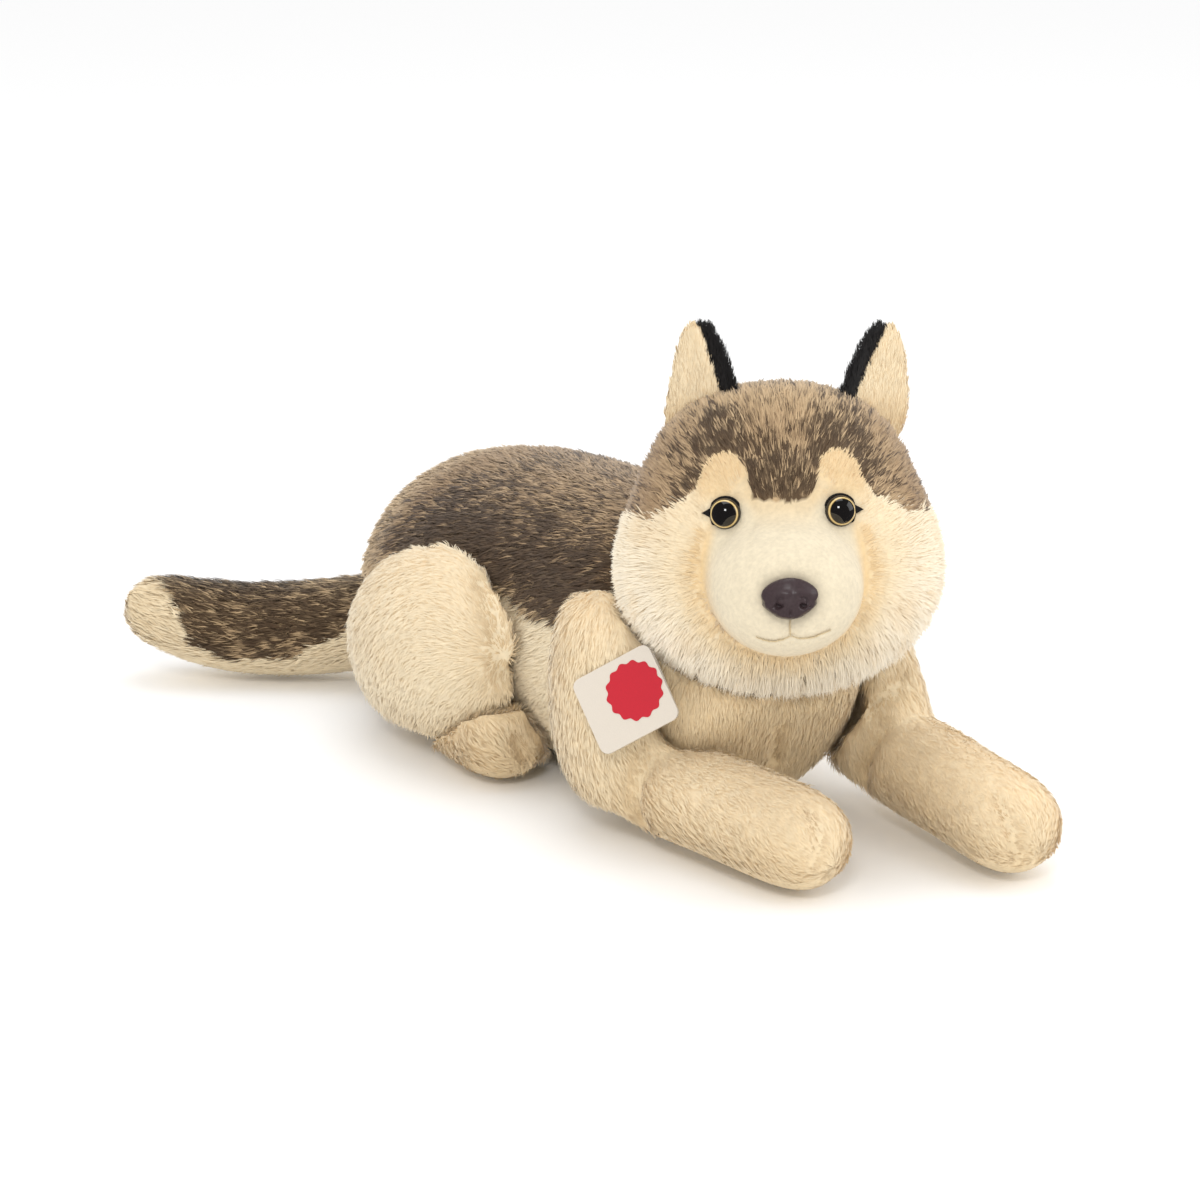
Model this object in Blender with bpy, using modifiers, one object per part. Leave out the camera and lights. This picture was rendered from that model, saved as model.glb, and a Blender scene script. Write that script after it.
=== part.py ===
"""Plush wolf lying down, about half a metre long.

Frame: metres, +Z up, the wolf looks along -Y and its left side is +X. The origin is on the
floor, at the middle of the flat patch under the belly. Every stuffed part is one closed solid
with its filling in it, and the coloured fabric panels are shells laid over the stuffed parts.
"""

import math

import bmesh
import bpy
from mathutils import Matrix, Vector
from mathutils.bvhtree import BVHTree

# Gaps and cloth
FIT_GAP = 0.0003          # between two pieces that touch
PANEL_THICKNESS = 0.006   # long pile fabric of the back, crown and tail panels
FACE_THICKNESS = 0.004    # short pile fabric of the face panel
FLOOR_DEPTH = 0.05        # how far the floor cutter reaches down
CUTTER_REACH = 0.30       # how far a panel's outline is carried through

# Torso: distance along Y, then the height of the back above the floor and the half widths
CHEST_FRONT_Y = -0.100
SHOULDER_Y = -0.045
WAIST_Y = 0.030
HIP_Y = 0.118
RUMP_Y = 0.222
BACK_HEIGHT_SHOULDER = 0.149
BACK_HEIGHT_WAIST = 0.148
BACK_HEIGHT_HIP = 0.142
SHOULDER_HALF_WIDTH = 0.064
WAIST_HALF_WIDTH = 0.070
HIP_HALF_WIDTH = 0.091
BELLY_SINK = 0.005        # how far the round belly is pressed flat by its weight

# Seam of the back panel, as heights above the floor seen from the side
BACK_SEAM_RUMP_Z = 0.070
BACK_SEAM_HIP_Z = 0.100
BACK_SEAM_FLANK_Z = 0.092
BACK_SEAM_SHOULDER_Z = 0.100

# Head: its middle and the way it is turned
HEAD_MIDDLE = (0.0025, -0.087, 0.1465)
HEAD_TURN = math.radians(-30.2)
HEAD_NOD = math.radians(-7.3)
HEAD_TILT = math.radians(-1.5)
HEAD_HALF_HEIGHT = 0.0710
CHEEK_HALF_WIDTH = 0.080
TEMPLE_HALF_WIDTH = 0.075
CROWN_HALF_WIDTH = 0.058
HEAD_HALF_DEPTH = 0.064

# Muzzle, in the head's frame
MUZZLE_MIDDLE_Z = -0.0135
MUZZLE_HALF_WIDTH = 0.0372
MUZZLE_HALF_HEIGHT = 0.0320
MUZZLE_TIP_Y = -0.105
MUZZLE_ROOT_Y = -0.035

# Face markings, in the head's frame
BROW_X = 0.025
BROW_HALF_WIDTH = 0.0115
BROW_TOP_Z = 0.042
PEAK_Z = 0.023            # lowest point of the grey between the eyes
TEMPLE_SEAM_Z = 0.010
FACE_HALF_WIDTH = 0.056
FACE_BOTTOM_Z = -0.048
NAPE_HALF_WIDTH = 0.045
NAPE_BOTTOM_Z = -0.045
NAPE_FRONT_Y = 0.020

# Eyes: turned plastic eyes on a shank, with a black backing and a lock washer inside
EYE_X = 0.0261
EYE_Z = 0.0174
EYE_DIAMETER = 0.0141
EYE_BULGE = 0.0055
EYE_TURN_OUT = math.radians(13)
EYE_TURN_UP = math.radians(4)
EYE_SINK = 0.0022
SHANK_DIAMETER = 0.0045
SHANK_LENGTH = 0.015
WASHER_DIAMETER = 0.014
WASHER_THICKNESS = 0.0016
WASHER_DEPTH = 0.008      # from the eye's back to the washer
BACKING_DIAMETER = 0.0158
BACKING_THICKNESS = 0.0008
BACKING_CORNER = 0.0030   # how far the pointed corner stands out of the round backing

# Nose: moulded plastic on a shank with its own washer
NOSE_Z = -0.0140
NOSE_WIDTH = 0.0232
NOSE_HEIGHT = 0.0168
NOSE_DEPTH = 0.012
NOSE_SINK = 0.004
NOSTRIL_X = 0.0050
NOSTRIL_Z = -0.0038
NOSTRIL_DIAMETER = 0.0036

# Ears
EAR_HEIGHT = 0.065
EAR_WIDTH = 0.049
EAR_LAYER = 0.0045        # thickness of each of an ear's two fabrics
EAR_CUP = 0.011           # how far the ear's edges curl forward
EAR_EDGE = 0.0085         # width of the black fabric that shows beside the lining
RIGHT_EAR_X = 0.0270
LEFT_EAR_X = 0.0335
EAR_Y = 0.004
EAR_ROOT_Z = 0.034
EAR_TURN = math.radians(35)
RIGHT_EAR_SPLAY = math.radians(8.5)
LEFT_EAR_SPLAY = math.radians(22)

# Front legs
UPPER_ARM_HALF_WIDTH = 0.031
UPPER_ARM_HALF_DEPTH = 0.040
SHOULDER_TOP = (0.060, -0.040, 0.118)
RIGHT_ELBOW = (0.0585, -0.048, 0.028)
LEFT_ELBOW = (0.066, -0.080, 0.028)
RIGHT_FORELEG_ROOT = (0.054, -0.052, 0.031)
LEFT_FORELEG_ROOT = (0.069, -0.080, 0.031)
FORELEG_HALF_WIDTH = 0.0265
FRONT_PAW_HALF_WIDTH = 0.0255
RIGHT_PAW = (0.029, -0.166, 0.0255)
LEFT_PAW = (0.064, -0.196, 0.0255)

# Hind legs
THIGH_MIDDLE = (0.074, 0.099, 0.059)
THIGH_HALF_SIZE = (0.042, 0.080, 0.051)
THIGH_TILT = math.radians(13)   # its front end is up, over the paw
HIND_PAW_X = 0.072
HIND_PAW_TOE_Y = 0.024
HIND_PAW_HEEL_Y = 0.112
HIND_PAW_HALF_WIDTH = 0.027
HIND_PAW_HALF_HEIGHT = 0.0275

# Tail: the points its middle passes through
TAIL_PATH = (
    (-0.002, 0.165, 0.052),
    (-0.030, 0.204, 0.040),
    (-0.068, 0.238, 0.029),
    (-0.096, 0.257, 0.026),
    (-0.122, 0.272, 0.028),
    (-0.149, 0.286, 0.036),
    (-0.168, 0.294, 0.048),
)
TAIL_HALF_WIDTH = 0.0270
TAIL_SEAM_ROOT_Z = 0.042  # height of the dark panel's lower edge where the tail leaves the body
TAIL_SEAM_LOW_Z = 0.016   # and at its lowest
TAIL_MARK_END = 0.147     # how far the dark panel runs, measured to the wolf's right

# Swing tag: a folded card
TAG_LENGTH = 0.041
TAG_WIDTH = 0.038
TAG_CARD = 0.0007
TAG_OPENING = 0.0032
TAG_CORNER = 0.004
TAG_MIDDLE = (-0.0740, -0.0795, 0.0768)
TAG_ROTATION = (math.radians(62), math.radians(-31), math.radians(-38))

MIRRORED = {"right": -1, "left": 1}


def srgb(red, green, blue):
    """A linear colour from a photograph's 0 to 255 values."""
    return tuple((c / 255) ** 2.2 for c in (red, green, blue)) + (1.0,)


LOOKS = {
    "cream_plush": (srgb(238, 222, 190), 0.9, 0.0),
    "grey_brown_plush": (srgb(128, 110, 90), 0.9, 0.0),
    "short_cream_plush": (srgb(240, 228, 200), 0.9, 0.0),
    "black_plush": (srgb(26, 24, 24), 0.95, 0.0),
    "eye_plastic": (srgb(14, 12, 12), 0.12, 0.0),
    "nose_plastic": (srgb(58, 46, 48), 0.42, 0.0),
    "washer_plastic": (srgb(235, 235, 230), 0.5, 0.0),
    "backing": (srgb(20, 18, 18), 0.7, 0.0),
    "card": (srgb(242, 232, 216), 0.55, 0.0),
}


# Collections, materials and small helpers

def clear_scene():
    for obj in list(bpy.data.objects):
        bpy.data.objects.remove(obj)


def new_collection(name, hidden=False):
    made = bpy.data.collections.new(name)
    bpy.context.scene.collection.children.link(made)
    made.hide_render = hidden
    return made


def new_material(name, look):
    colour, roughness, metallic = LOOKS[look]
    made = bpy.data.materials.new(name)
    made.use_nodes = True
    shader = made.node_tree.nodes["Principled BSDF"]
    shader.inputs["Base Color"].default_value = colour
    shader.inputs["Roughness"].default_value = roughness
    shader.inputs["Metallic"].default_value = metallic
    return made


clear_scene()
PARTS = new_collection("plush_wolf")
CUTTERS = new_collection("cutters", hidden=True)


def add_object(name, data, look=None, parent=None):
    """A part when it has a look, and otherwise a hidden cutter."""
    obj = bpy.data.objects.new(name, data)
    (PARTS if look else CUTTERS).objects.link(obj)
    if look:
        data.materials.append(new_material(name, look))
    else:
        obj.hide_render = True
        obj.display_type = "WIRE"
    obj.parent = parent
    return obj


def mesh_object(name, bm, look=None, parent=None, smooth=True):
    mesh = bpy.data.meshes.new(name)
    bmesh.ops.recalc_face_normals(bm, faces=bm.faces)
    bm.to_mesh(mesh)
    bm.free()
    for face in mesh.polygons:
        face.use_smooth = smooth
    return add_object(name, mesh, look, parent)


def cut(obj, cutter, operation="DIFFERENCE"):
    modifier = obj.modifiers.new(f"{operation.lower()}_{cutter.name}", "BOOLEAN")
    modifier.operation = operation
    modifier.object = cutter
    modifier.solver = "EXACT"
    return modifier


def subdivide(obj, levels):
    modifier = obj.modifiers.new("subdivision", "SUBSURF")
    modifier.levels = modifier.render_levels = levels


def split_faces(obj):
    """Splits every four-sided face the same way, so that a part and its cutter match."""
    modifier = obj.modifiers.new("split", "TRIANGULATE")
    modifier.quad_method = "FIXED"


def swell(obj, distance):
    """Moves the whole surface out along its normals, or in when the distance is negative."""
    modifier = obj.modifiers.new("swell", "DISPLACE")
    modifier.mid_level = 0.0
    modifier.strength = distance


def loft_mesh(stations, ring, along=None):
    """A cage of elliptic rings. A station is a middle point, a half width and a half height.

    The ring lies across the direction from its neighbours, or across along when it is given.
    """
    grow = 3.0 / (2.0 + math.cos(2 * math.pi / ring))  # subdivision shrinks a ring by this
    bm = bmesh.new()
    rings = []
    for index, (middle, half_width, half_height) in enumerate(stations):
        before = Vector(stations[max(index - 1, 0)][0])
        after = Vector(stations[min(index + 1, len(stations) - 1)][0])
        direction = Vector(along) if along else (after - before)
        direction.normalize()
        guide = Vector((0, 0, 1)) if abs(direction.z) < 0.8 else Vector((0, -1, 0))
        side = direction.cross(guide).normalized()
        up = side.cross(direction)
        points = []
        for step in range(ring):
            angle = 2 * math.pi * (step + 0.5) / ring
            offset = side * (half_width * grow * math.cos(angle))
            offset += up * (half_height * grow * math.sin(angle))
            points.append(bm.verts.new(Vector(middle) + offset))
        rings.append(points)
    for first, second in zip(rings, rings[1:]):
        for step in range(ring):
            after = (step + 1) % ring
            bm.faces.new((first[step], first[after], second[after], second[step]))
    bm.faces.new(rings[0])
    bm.faces.new(rings[-1])
    return bm


def loft(name, stations, look=None, parent=None, ring=12, levels=1, along=None):
    obj = mesh_object(name, loft_mesh(stations, ring, along), look, parent)
    subdivide(obj, levels)
    split_faces(obj)
    return obj


def ellipsoid(name, middle, half_size, look=None, parent=None, segments=20, rings=12, tilt=0.0):
    bm = bmesh.new()
    bmesh.ops.create_uvsphere(bm, u_segments=segments, v_segments=rings, radius=1.0)
    bmesh.ops.scale(bm, verts=bm.verts, vec=half_size)
    bmesh.ops.rotate(bm, verts=bm.verts, cent=(0, 0, 0), matrix=Matrix.Rotation(tilt, 3, "X"))
    bmesh.ops.translate(bm, verts=bm.verts, vec=middle)
    obj = mesh_object(name, bm, look, parent)
    split_faces(obj)
    return obj


def box(name, low, high, parent=None):
    low, high = Vector(low), Vector(high)
    bm = bmesh.new()
    bmesh.ops.create_cube(bm, size=1.0)
    bmesh.ops.scale(bm, verts=bm.verts, vec=high - low)
    bmesh.ops.translate(bm, verts=bm.verts, vec=(low + high) / 2)
    return mesh_object(name, bm, None, parent)


def offset_outline(points, distance):
    """The closed outline moved out along its corners' normals."""
    area = sum(a[0] * b[1] - b[0] * a[1] for a, b in zip(points, points[1:] + points[:1]))
    turn = 1 if area > 0 else -1
    moved = []
    for index, point in enumerate(points):
        before = Vector(points[index - 1])
        after = Vector(points[(index + 1) % len(points)])
        tangent = (after - before).normalized()
        normal = Vector((tangent.y, -tangent.x)) * turn
        moved.append(tuple(Vector(point) + normal * distance))
    return moved


def eased(points, steps=3):
    """An open chain of points made into a smooth curve that passes through all of them."""
    chain = [points[0]] + list(points) + [points[-1]]
    made = []
    for p0, p1, p2, p3 in zip(chain, chain[1:], chain[2:], chain[3:]):
        p0, p1, p2, p3 = Vector(p0), Vector(p1), Vector(p2), Vector(p3)
        for step in range(steps):
            t = step / steps
            made.append(tuple(0.5 * (2 * p1 + (p2 - p0) * t
                                     + (2 * p0 - 5 * p1 + 4 * p2 - p3) * t ** 2
                                     + (3 * p1 - p0 - 3 * p2 + p3) * t ** 3)))
    return made + [tuple(points[-1])]


def prism(name, outlines, place, half_depth=CUTTER_REACH, look=None, parent=None):
    """A flat outline with its holes, carried both ways. place turns it into the parent's frame."""
    curve = bpy.data.curves.new(name + "_outline", "CURVE")
    curve.dimensions = "2D"
    curve.fill_mode = "BOTH"
    curve.extrude = half_depth
    for outline in outlines:
        spline = curve.splines.new("POLY")
        spline.points.add(len(outline) - 1)
        for point, (x, y) in zip(spline.points, outline):
            point.co = (x, y, 0, 1)
        spline.use_cyclic_u = True
    source = bpy.data.objects.new(name + "_source", curve)
    CUTTERS.objects.link(source)
    graph = bpy.context.evaluated_depsgraph_get()
    mesh = bpy.data.meshes.new_from_object(source.evaluated_get(graph))
    bpy.data.objects.remove(source)
    bm = bmesh.new()
    bm.from_mesh(mesh)
    bpy.data.meshes.remove(mesh)
    bmesh.ops.remove_doubles(bm, verts=bm.verts, dist=1e-6)
    bmesh.ops.transform(bm, matrix=place, verts=bm.verts)
    return mesh_object(name, bm, look, parent, smooth=False)


def turned(name, profile, look=None, parent=None, steps=20, ring=False):
    """A profile of (radius, height) from the top of the axis to its foot, turned about Z.

    A ring's profile runs down its outer side and closes on itself.
    """
    mesh = bpy.data.meshes.new(name)
    points = [(radius, 0, height) for radius, height in profile]
    edges = [(i, i + 1) for i in range(len(points) - 1)]
    if ring:
        edges.append((len(points) - 1, 0))
    mesh.from_pydata(points, edges, [])
    obj = add_object(name, mesh, look, parent)
    screw = obj.modifiers.new("turn", "SCREW")
    screw.steps = screw.render_steps = steps
    screw.use_merge_vertices = True
    screw.merge_threshold = 0.00001
    return obj


def shape_of(obj):
    """A search tree of the object as the viewport shows it, in its parent's frame."""
    graph = bpy.context.evaluated_depsgraph_get()
    evaluated = obj.evaluated_get(graph)
    mesh = evaluated.to_mesh()
    tree = BVHTree.FromPolygons([v.co.copy() for v in mesh.vertices],
                                [tuple(p.vertices) for p in mesh.polygons])
    evaluated.to_mesh_clear()
    return tree


# Head frame

head_frame = bpy.data.objects.new("head_frame", None)
PARTS.objects.link(head_frame)
head_frame.location = HEAD_MIDDLE
head_frame.rotation_euler = (HEAD_NOD, HEAD_TILT, HEAD_TURN)
FRONT_VIEW = Matrix.Rotation(math.radians(90), 4, "X")   # outline x, y to x, z
SIDE_VIEW = Matrix(((0, 0, 1, 0), (1, 0, 0, 0), (0, 1, 0, 0), (0, 0, 0, 1)))  # to y, z


# Torso

def torso_stations():
    """Rings of the body bag from the chest to the rump, pressed into the floor by BELLY_SINK."""
    def ring(y, height, half_width, lift=0.0):
        low = lift - BELLY_SINK
        return ((0, y, (height + low) / 2), half_width, (height - low) / 2)

    return [
        ring(CHEST_FRONT_Y, BACK_HEIGHT_SHOULDER * 0.62, SHOULDER_HALF_WIDTH * 0.55, 0.018),
        ring(CHEST_FRONT_Y + 0.012, BACK_HEIGHT_SHOULDER * 0.83, SHOULDER_HALF_WIDTH * 0.88, 0.004),
        ring(SHOULDER_Y, BACK_HEIGHT_SHOULDER, SHOULDER_HALF_WIDTH),
        ring(WAIST_Y, BACK_HEIGHT_WAIST, WAIST_HALF_WIDTH),
        ring(HIP_Y, BACK_HEIGHT_HIP, HIP_HALF_WIDTH),
        ring(RUMP_Y - 0.032, BACK_HEIGHT_HIP * 0.95, HIP_HALF_WIDTH * 0.92, 0.003),
        ring(RUMP_Y, BACK_HEIGHT_HIP * 0.76, HIP_HALF_WIDTH * 0.58, 0.018),
    ]


def back_seam_outline():
    """Side view of the region that the back panel covers, as (y, z)."""
    seam = [
        (RUMP_Y + 0.05, BACK_SEAM_RUMP_Z - 0.020),
        (RUMP_Y, BACK_SEAM_RUMP_Z - 0.010),
        (RUMP_Y - 0.030, BACK_SEAM_RUMP_Z + 0.006),
        (HIP_Y, BACK_SEAM_HIP_Z),
        (WAIST_Y + 0.030, BACK_SEAM_HIP_Z),
        (WAIST_Y - 0.020, BACK_SEAM_FLANK_Z),
        (SHOULDER_Y, BACK_SEAM_SHOULDER_Z - 0.010),
        (SHOULDER_Y - 0.030, BACK_SEAM_SHOULDER_Z + 0.010),
        (CHEST_FRONT_Y - 0.05, BACK_SEAM_SHOULDER_Z + 0.030),
    ]
    top = BACK_HEIGHT_WAIST + 0.05
    return eased(seam) + [(CHEST_FRONT_Y - 0.05, top), (RUMP_Y + 0.05, top)]


def make_torso(floor):
    stations = torso_stations()
    outer = loft("torso_outer", stations)
    swell(outer, FIT_GAP)
    inner = loft("torso_inner", stations)
    swell(inner, -PANEL_THICKNESS)
    seat = loft("torso_inner_seat", stations)
    swell(seat, FIT_GAP - PANEL_THICKNESS)

    seam = back_seam_outline()
    region = prism("back_region", [seam], SIDE_VIEW)
    recess = prism("back_recess", [offset_outline(seam, FIT_GAP)], SIDE_VIEW)
    cut(recess, inner)

    torso = loft("torso", stations, "cream_plush")
    cut(torso, recess)
    cut(torso, floor)
    panel = loft("back_panel", stations, "grey_brown_plush")
    cut(panel, seat)
    cut(panel, region, "INTERSECT")
    return torso, panel, outer


# Head

def head_stations():
    top = HEAD_HALF_HEIGHT
    return [
        ((0, 0.004, top), 0.30 * CROWN_HALF_WIDTH, 0.30 * HEAD_HALF_DEPTH),
        ((0, 0.004, top * 0.86), 0.78 * CROWN_HALF_WIDTH, 0.66 * HEAD_HALF_DEPTH),
        ((0, 0.002, top * 0.50), CROWN_HALF_WIDTH * 1.06, 0.90 * HEAD_HALF_DEPTH),
        ((0, 0, top * 0.10), TEMPLE_HALF_WIDTH, HEAD_HALF_DEPTH),
        ((0, 0, -top * 0.25), CHEEK_HALF_WIDTH, HEAD_HALF_DEPTH),
        ((0, 0, -top * 0.58), CHEEK_HALF_WIDTH * 0.90, 0.93 * HEAD_HALF_DEPTH),
        ((0, 0, -top * 0.88), CHEEK_HALF_WIDTH * 0.58, 0.66 * HEAD_HALF_DEPTH),
        ((0, 0, -top), 0.22 * CHEEK_HALF_WIDTH, 0.26 * HEAD_HALF_DEPTH),
    ]


def mirrored_outline(right_half):
    """Closes a half outline, given from the top middle to the bottom middle, with its mirror."""
    left_half = [(-x, z) for x, z in reversed(right_half) if x > 0]
    return right_half + left_half


def brow_edge():
    """Lower edge of the grey crown on one side, from the middle out to the temple."""
    inner, outer = BROW_X - BROW_HALF_WIDTH, BROW_X + BROW_HALF_WIDTH
    return [
        (0.0, PEAK_Z),
        (inner - 0.001, PEAK_Z + 0.001),
        (inner + 0.001, (PEAK_Z + BROW_TOP_Z) / 2),
        (inner + 0.005, BROW_TOP_Z - 0.003),
        (BROW_X, BROW_TOP_Z),
        (outer - 0.004, BROW_TOP_Z - 0.004),
        (outer, BROW_TOP_Z - 0.014),
        (outer + 0.010, TEMPLE_SEAM_Z + 0.010),
        (FACE_HALF_WIDTH, TEMPLE_SEAM_Z + 0.002),
        (CHEEK_HALF_WIDTH + 0.03, TEMPLE_SEAM_Z),
    ]


def crown_outline():
    top = HEAD_HALF_HEIGHT + 0.05
    right = eased(brow_edge()) + [(CHEEK_HALF_WIDTH + 0.03, top)]
    return right + [(-x, z) for x, z in reversed(right) if x > 0]


def face_outline():
    top = HEAD_HALF_HEIGHT
    right = [
        (0.0, top),
        (FACE_HALF_WIDTH, top),
        (FACE_HALF_WIDTH, TEMPLE_SEAM_Z),
        (FACE_HALF_WIDTH * 0.93, TEMPLE_SEAM_Z - 0.016),
        (FACE_HALF_WIDTH * 0.76, TEMPLE_SEAM_Z - 0.034),
        (FACE_HALF_WIDTH * 0.50, FACE_BOTTOM_Z + 0.007),
        (0.0, FACE_BOTTOM_Z),
    ]
    return mirrored_outline(right)


def crown_region(name, grow):
    """The crown's outline carried through the head, with a strip down to the nape behind."""
    region = prism(name, [offset_outline(crown_outline(), grow)], FRONT_VIEW, parent=head_frame)
    nape = box(name + "_nape", (-NAPE_HALF_WIDTH - grow, NAPE_FRONT_Y - grow, NAPE_BOTTOM_Z - grow),
               (NAPE_HALF_WIDTH + grow, CUTTER_REACH / 2, HEAD_HALF_HEIGHT), parent=head_frame)
    cut(region, nape, "UNION")
    return region


def face_region(name, grow):
    """The face outline, in front of the ears only."""
    region = prism(name, [offset_outline(face_outline(), grow)], FRONT_VIEW, parent=head_frame)
    front = box(name + "_front", (-CUTTER_REACH, -CUTTER_REACH * 2, -CUTTER_REACH),
                (CUTTER_REACH, 0, CUTTER_REACH), parent=head_frame)
    cut(region, front, "INTERSECT")
    return region


def make_head():
    stations = head_stations()

    def bag(name, distance=0.0, look=None):
        obj = loft(name, stations, look, head_frame, ring=12, along=(0, 0, -1))
        if distance:
            swell(obj, distance)
        return obj

    outer = bag("head_outer", FIT_GAP)
    crown_inner = bag("crown_inner", -PANEL_THICKNESS)
    crown_seat = bag("crown_seat", FIT_GAP - PANEL_THICKNESS)
    face_inner = bag("face_inner", -FACE_THICKNESS)
    face_seat = bag("face_seat", FIT_GAP - FACE_THICKNESS)

    crown_recess = crown_region("crown_recess", FIT_GAP)
    cut(crown_recess, crown_inner)
    face_recess = face_region("face_recess", FIT_GAP)
    cut(face_recess, face_inner)

    head = bag("head", look="cream_plush")
    cut(head, crown_recess)
    cut(head, face_recess)

    crown = bag("crown_panel", look="grey_brown_plush")
    cut(crown, crown_seat)
    cut(crown, crown_region("crown_cover", 0.0), "INTERSECT")

    face = bag("face_panel", look="short_cream_plush")
    cut(face, face_seat)
    cut(face, face_region("face_cover", 0.0), "INTERSECT")
    cut(face, crown_region("face_crown_edge", FIT_GAP))
    return head, crown, face, outer


def muzzle_stations():
    length = MUZZLE_ROOT_Y - MUZZLE_TIP_Y
    z = MUZZLE_MIDDLE_Z

    def ring(share, wide, high, drop=0.0):
        middle = (0, MUZZLE_ROOT_Y - share * length, z - drop)
        return (middle, MUZZLE_HALF_WIDTH * wide, MUZZLE_HALF_HEIGHT * high)

    return [
        ring(0.00, 0.92, 0.94),
        ring(0.30, 1.00, 1.00, 0.001),
        ring(0.62, 0.95, 0.95, 0.003),
        ring(0.86, 0.72, 0.70, 0.004),
        ring(1.00, 0.36, 0.34, 0.004),
    ]


def make_muzzle(head_outer):
    muzzle = loft("muzzle", muzzle_stations(), "short_cream_plush", head_frame, ring=10)
    cut(muzzle, head_outer)
    return muzzle


# Eyes

def eye_axis(side):
    """Unit vector out of the eye, in the head's frame."""
    turn = EYE_TURN_OUT * side
    flat = Vector((math.sin(turn), -math.cos(turn), 0)) * math.cos(EYE_TURN_UP)
    return flat + Vector((0, 0, math.sin(EYE_TURN_UP)))


def dome(radius, height, steps=5):
    """Profile of a dome from the top of the axis down to its rim."""
    points = []
    for step in range(steps + 1):
        angle = math.pi / 2 * step / steps
        points.append((radius * math.sin(angle), height * math.cos(angle)))
    return points


def shank_profile(top_profile, foot):
    """A dome on a shank: the dome's rim, its flat back and the shank down to its foot."""
    shank = SHANK_DIAMETER / 2
    return top_profile + [(shank, 0.0), (shank, foot), (0.0, foot)]


def washer(name, parent):
    hole = SHANK_DIAMETER / 2 + FIT_GAP
    ring = WASHER_DIAMETER / 2
    low, high = -WASHER_DEPTH - WASHER_THICKNESS, -WASHER_DEPTH
    profile = [(hole, high), (ring, high), (ring, low), (hole, low)]
    return turned(name, profile, "washer_plastic", parent, steps=20, ring=True)


def pocket(name, head_radius, front, parent, back=0.0):
    """Room for a fitting in the stuffing: its head, shank and washer, each with the fit gap."""
    shank = SHANK_DIAMETER / 2 + FIT_GAP
    ring = WASHER_DIAMETER / 2 + FIT_GAP
    washer_high = -WASHER_DEPTH + FIT_GAP
    washer_low = -WASHER_DEPTH - WASHER_THICKNESS - FIT_GAP
    foot = -SHANK_LENGTH - FIT_GAP
    profile = [(0, front), (head_radius, front), (head_radius, back), (shank, back),
               (shank, washer_high), (ring, washer_high), (ring, washer_low),
               (shank, washer_low), (shank, foot), (0, foot)]
    return turned(name, profile, parent=parent, steps=20)


def backing_outline(side):
    """Round felt behind the eye with one pointed corner on the outer side."""
    radius = BACKING_DIAMETER / 2
    open_angle = math.radians(24)
    steps = 24
    points = []
    for step in range(steps + 1):
        angle = open_angle + (2 * math.pi - 2 * open_angle) * step / steps
        points.append((radius * math.cos(angle) * side, radius * math.sin(angle)))
    points.append(((radius + BACKING_CORNER) * side, 0.0))
    return points


def circle(radius, steps):
    angles = (2 * math.pi * step / steps for step in range(steps))
    return [(radius * math.cos(angle), radius * math.sin(angle)) for angle in angles]


def fitting_frame(name, point, axis):
    """An empty whose Z looks out of an eye or the nose, with its Y kept upright."""
    frame = bpy.data.objects.new(name, None)
    PARTS.objects.link(frame)
    frame.parent = head_frame
    right = Vector((0, 0, 1)).cross(axis).normalized()
    up = axis.cross(right)
    rotation = Matrix((right, up, axis)).transposed().to_4x4()
    frame.matrix_local = Matrix.Translation(point) @ rotation
    return frame


def make_eye(side_name, side, tree, fabrics):
    axis = eye_axis(side)
    start = Vector((EYE_X * side, 0, EYE_Z)) - Vector((0, HEAD_HALF_DEPTH * 2, 0))
    hit, _, _, _ = tree.ray_cast(start, Vector((0, 1, 0)))
    frame = fitting_frame(f"eye_frame_{side_name}", hit - axis * EYE_SINK, axis)
    profile = shank_profile(dome(EYE_DIAMETER / 2, EYE_BULGE), -SHANK_LENGTH)
    turned(f"eye_{side_name}", profile, "eye_plastic", frame, steps=24)
    washer(f"eye_washer_{side_name}", frame)
    hole = circle(SHANK_DIAMETER / 2 + FIT_GAP, 16)
    prism(f"eye_backing_{side_name}", [backing_outline(side), hole],
          Matrix.Translation((0, 0, -FIT_GAP - BACKING_THICKNESS / 2)),
          BACKING_THICKNESS / 2, "backing", frame)
    back = -2 * FIT_GAP - BACKING_THICKNESS
    room = pocket(f"eye_pocket_{side_name}", BACKING_DIAMETER / 2 + FIT_GAP, EYE_BULGE * 4, frame, back)
    corner = prism(f"eye_corner_{side_name}", [offset_outline(backing_outline(side), FIT_GAP * 2)],
                   Matrix.Translation((0, 0, CUTTER_REACH + back)), parent=frame)
    for fabric in fabrics:
        cut(fabric, room)
        cut(fabric, corner)


# Nose

def nose_cage(name, frame, look=None):
    """A rounded triangle, wide above and narrow below, domed to the front."""
    half_width, half_height = NOSE_WIDTH / 2, NOSE_HEIGHT / 2
    rows = [(1.0, 0.66), (0.52, 1.0), (-0.02, 1.0), (-0.54, 0.70), (-1.0, 0.50)]
    bm = bmesh.new()
    bmesh.ops.create_cube(bm, size=2.0)
    bmesh.ops.subdivide_edges(bm, edges=bm.edges, cuts=3, use_grid_fill=True)
    for vert in bm.verts:
        row = rows[round((1.0 - vert.co.y) * 2)]
        across = vert.co.x
        height = row[0]
        bulge = 0.5 + 0.5 * vert.co.z
        crown = 1.0 - 0.35 * across * across - 0.15 * height * height
        vert.co.x = across * row[1] * half_width * 1.08
        vert.co.y = height * half_height * 1.08 * (1.0 - 0.22 * across * across)
        vert.co.z = bulge * NOSE_DEPTH * crown * 1.08
    nose = mesh_object(name, bm, look, frame)
    subdivide(nose, 1)
    split_faces(nose)
    return nose


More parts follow.
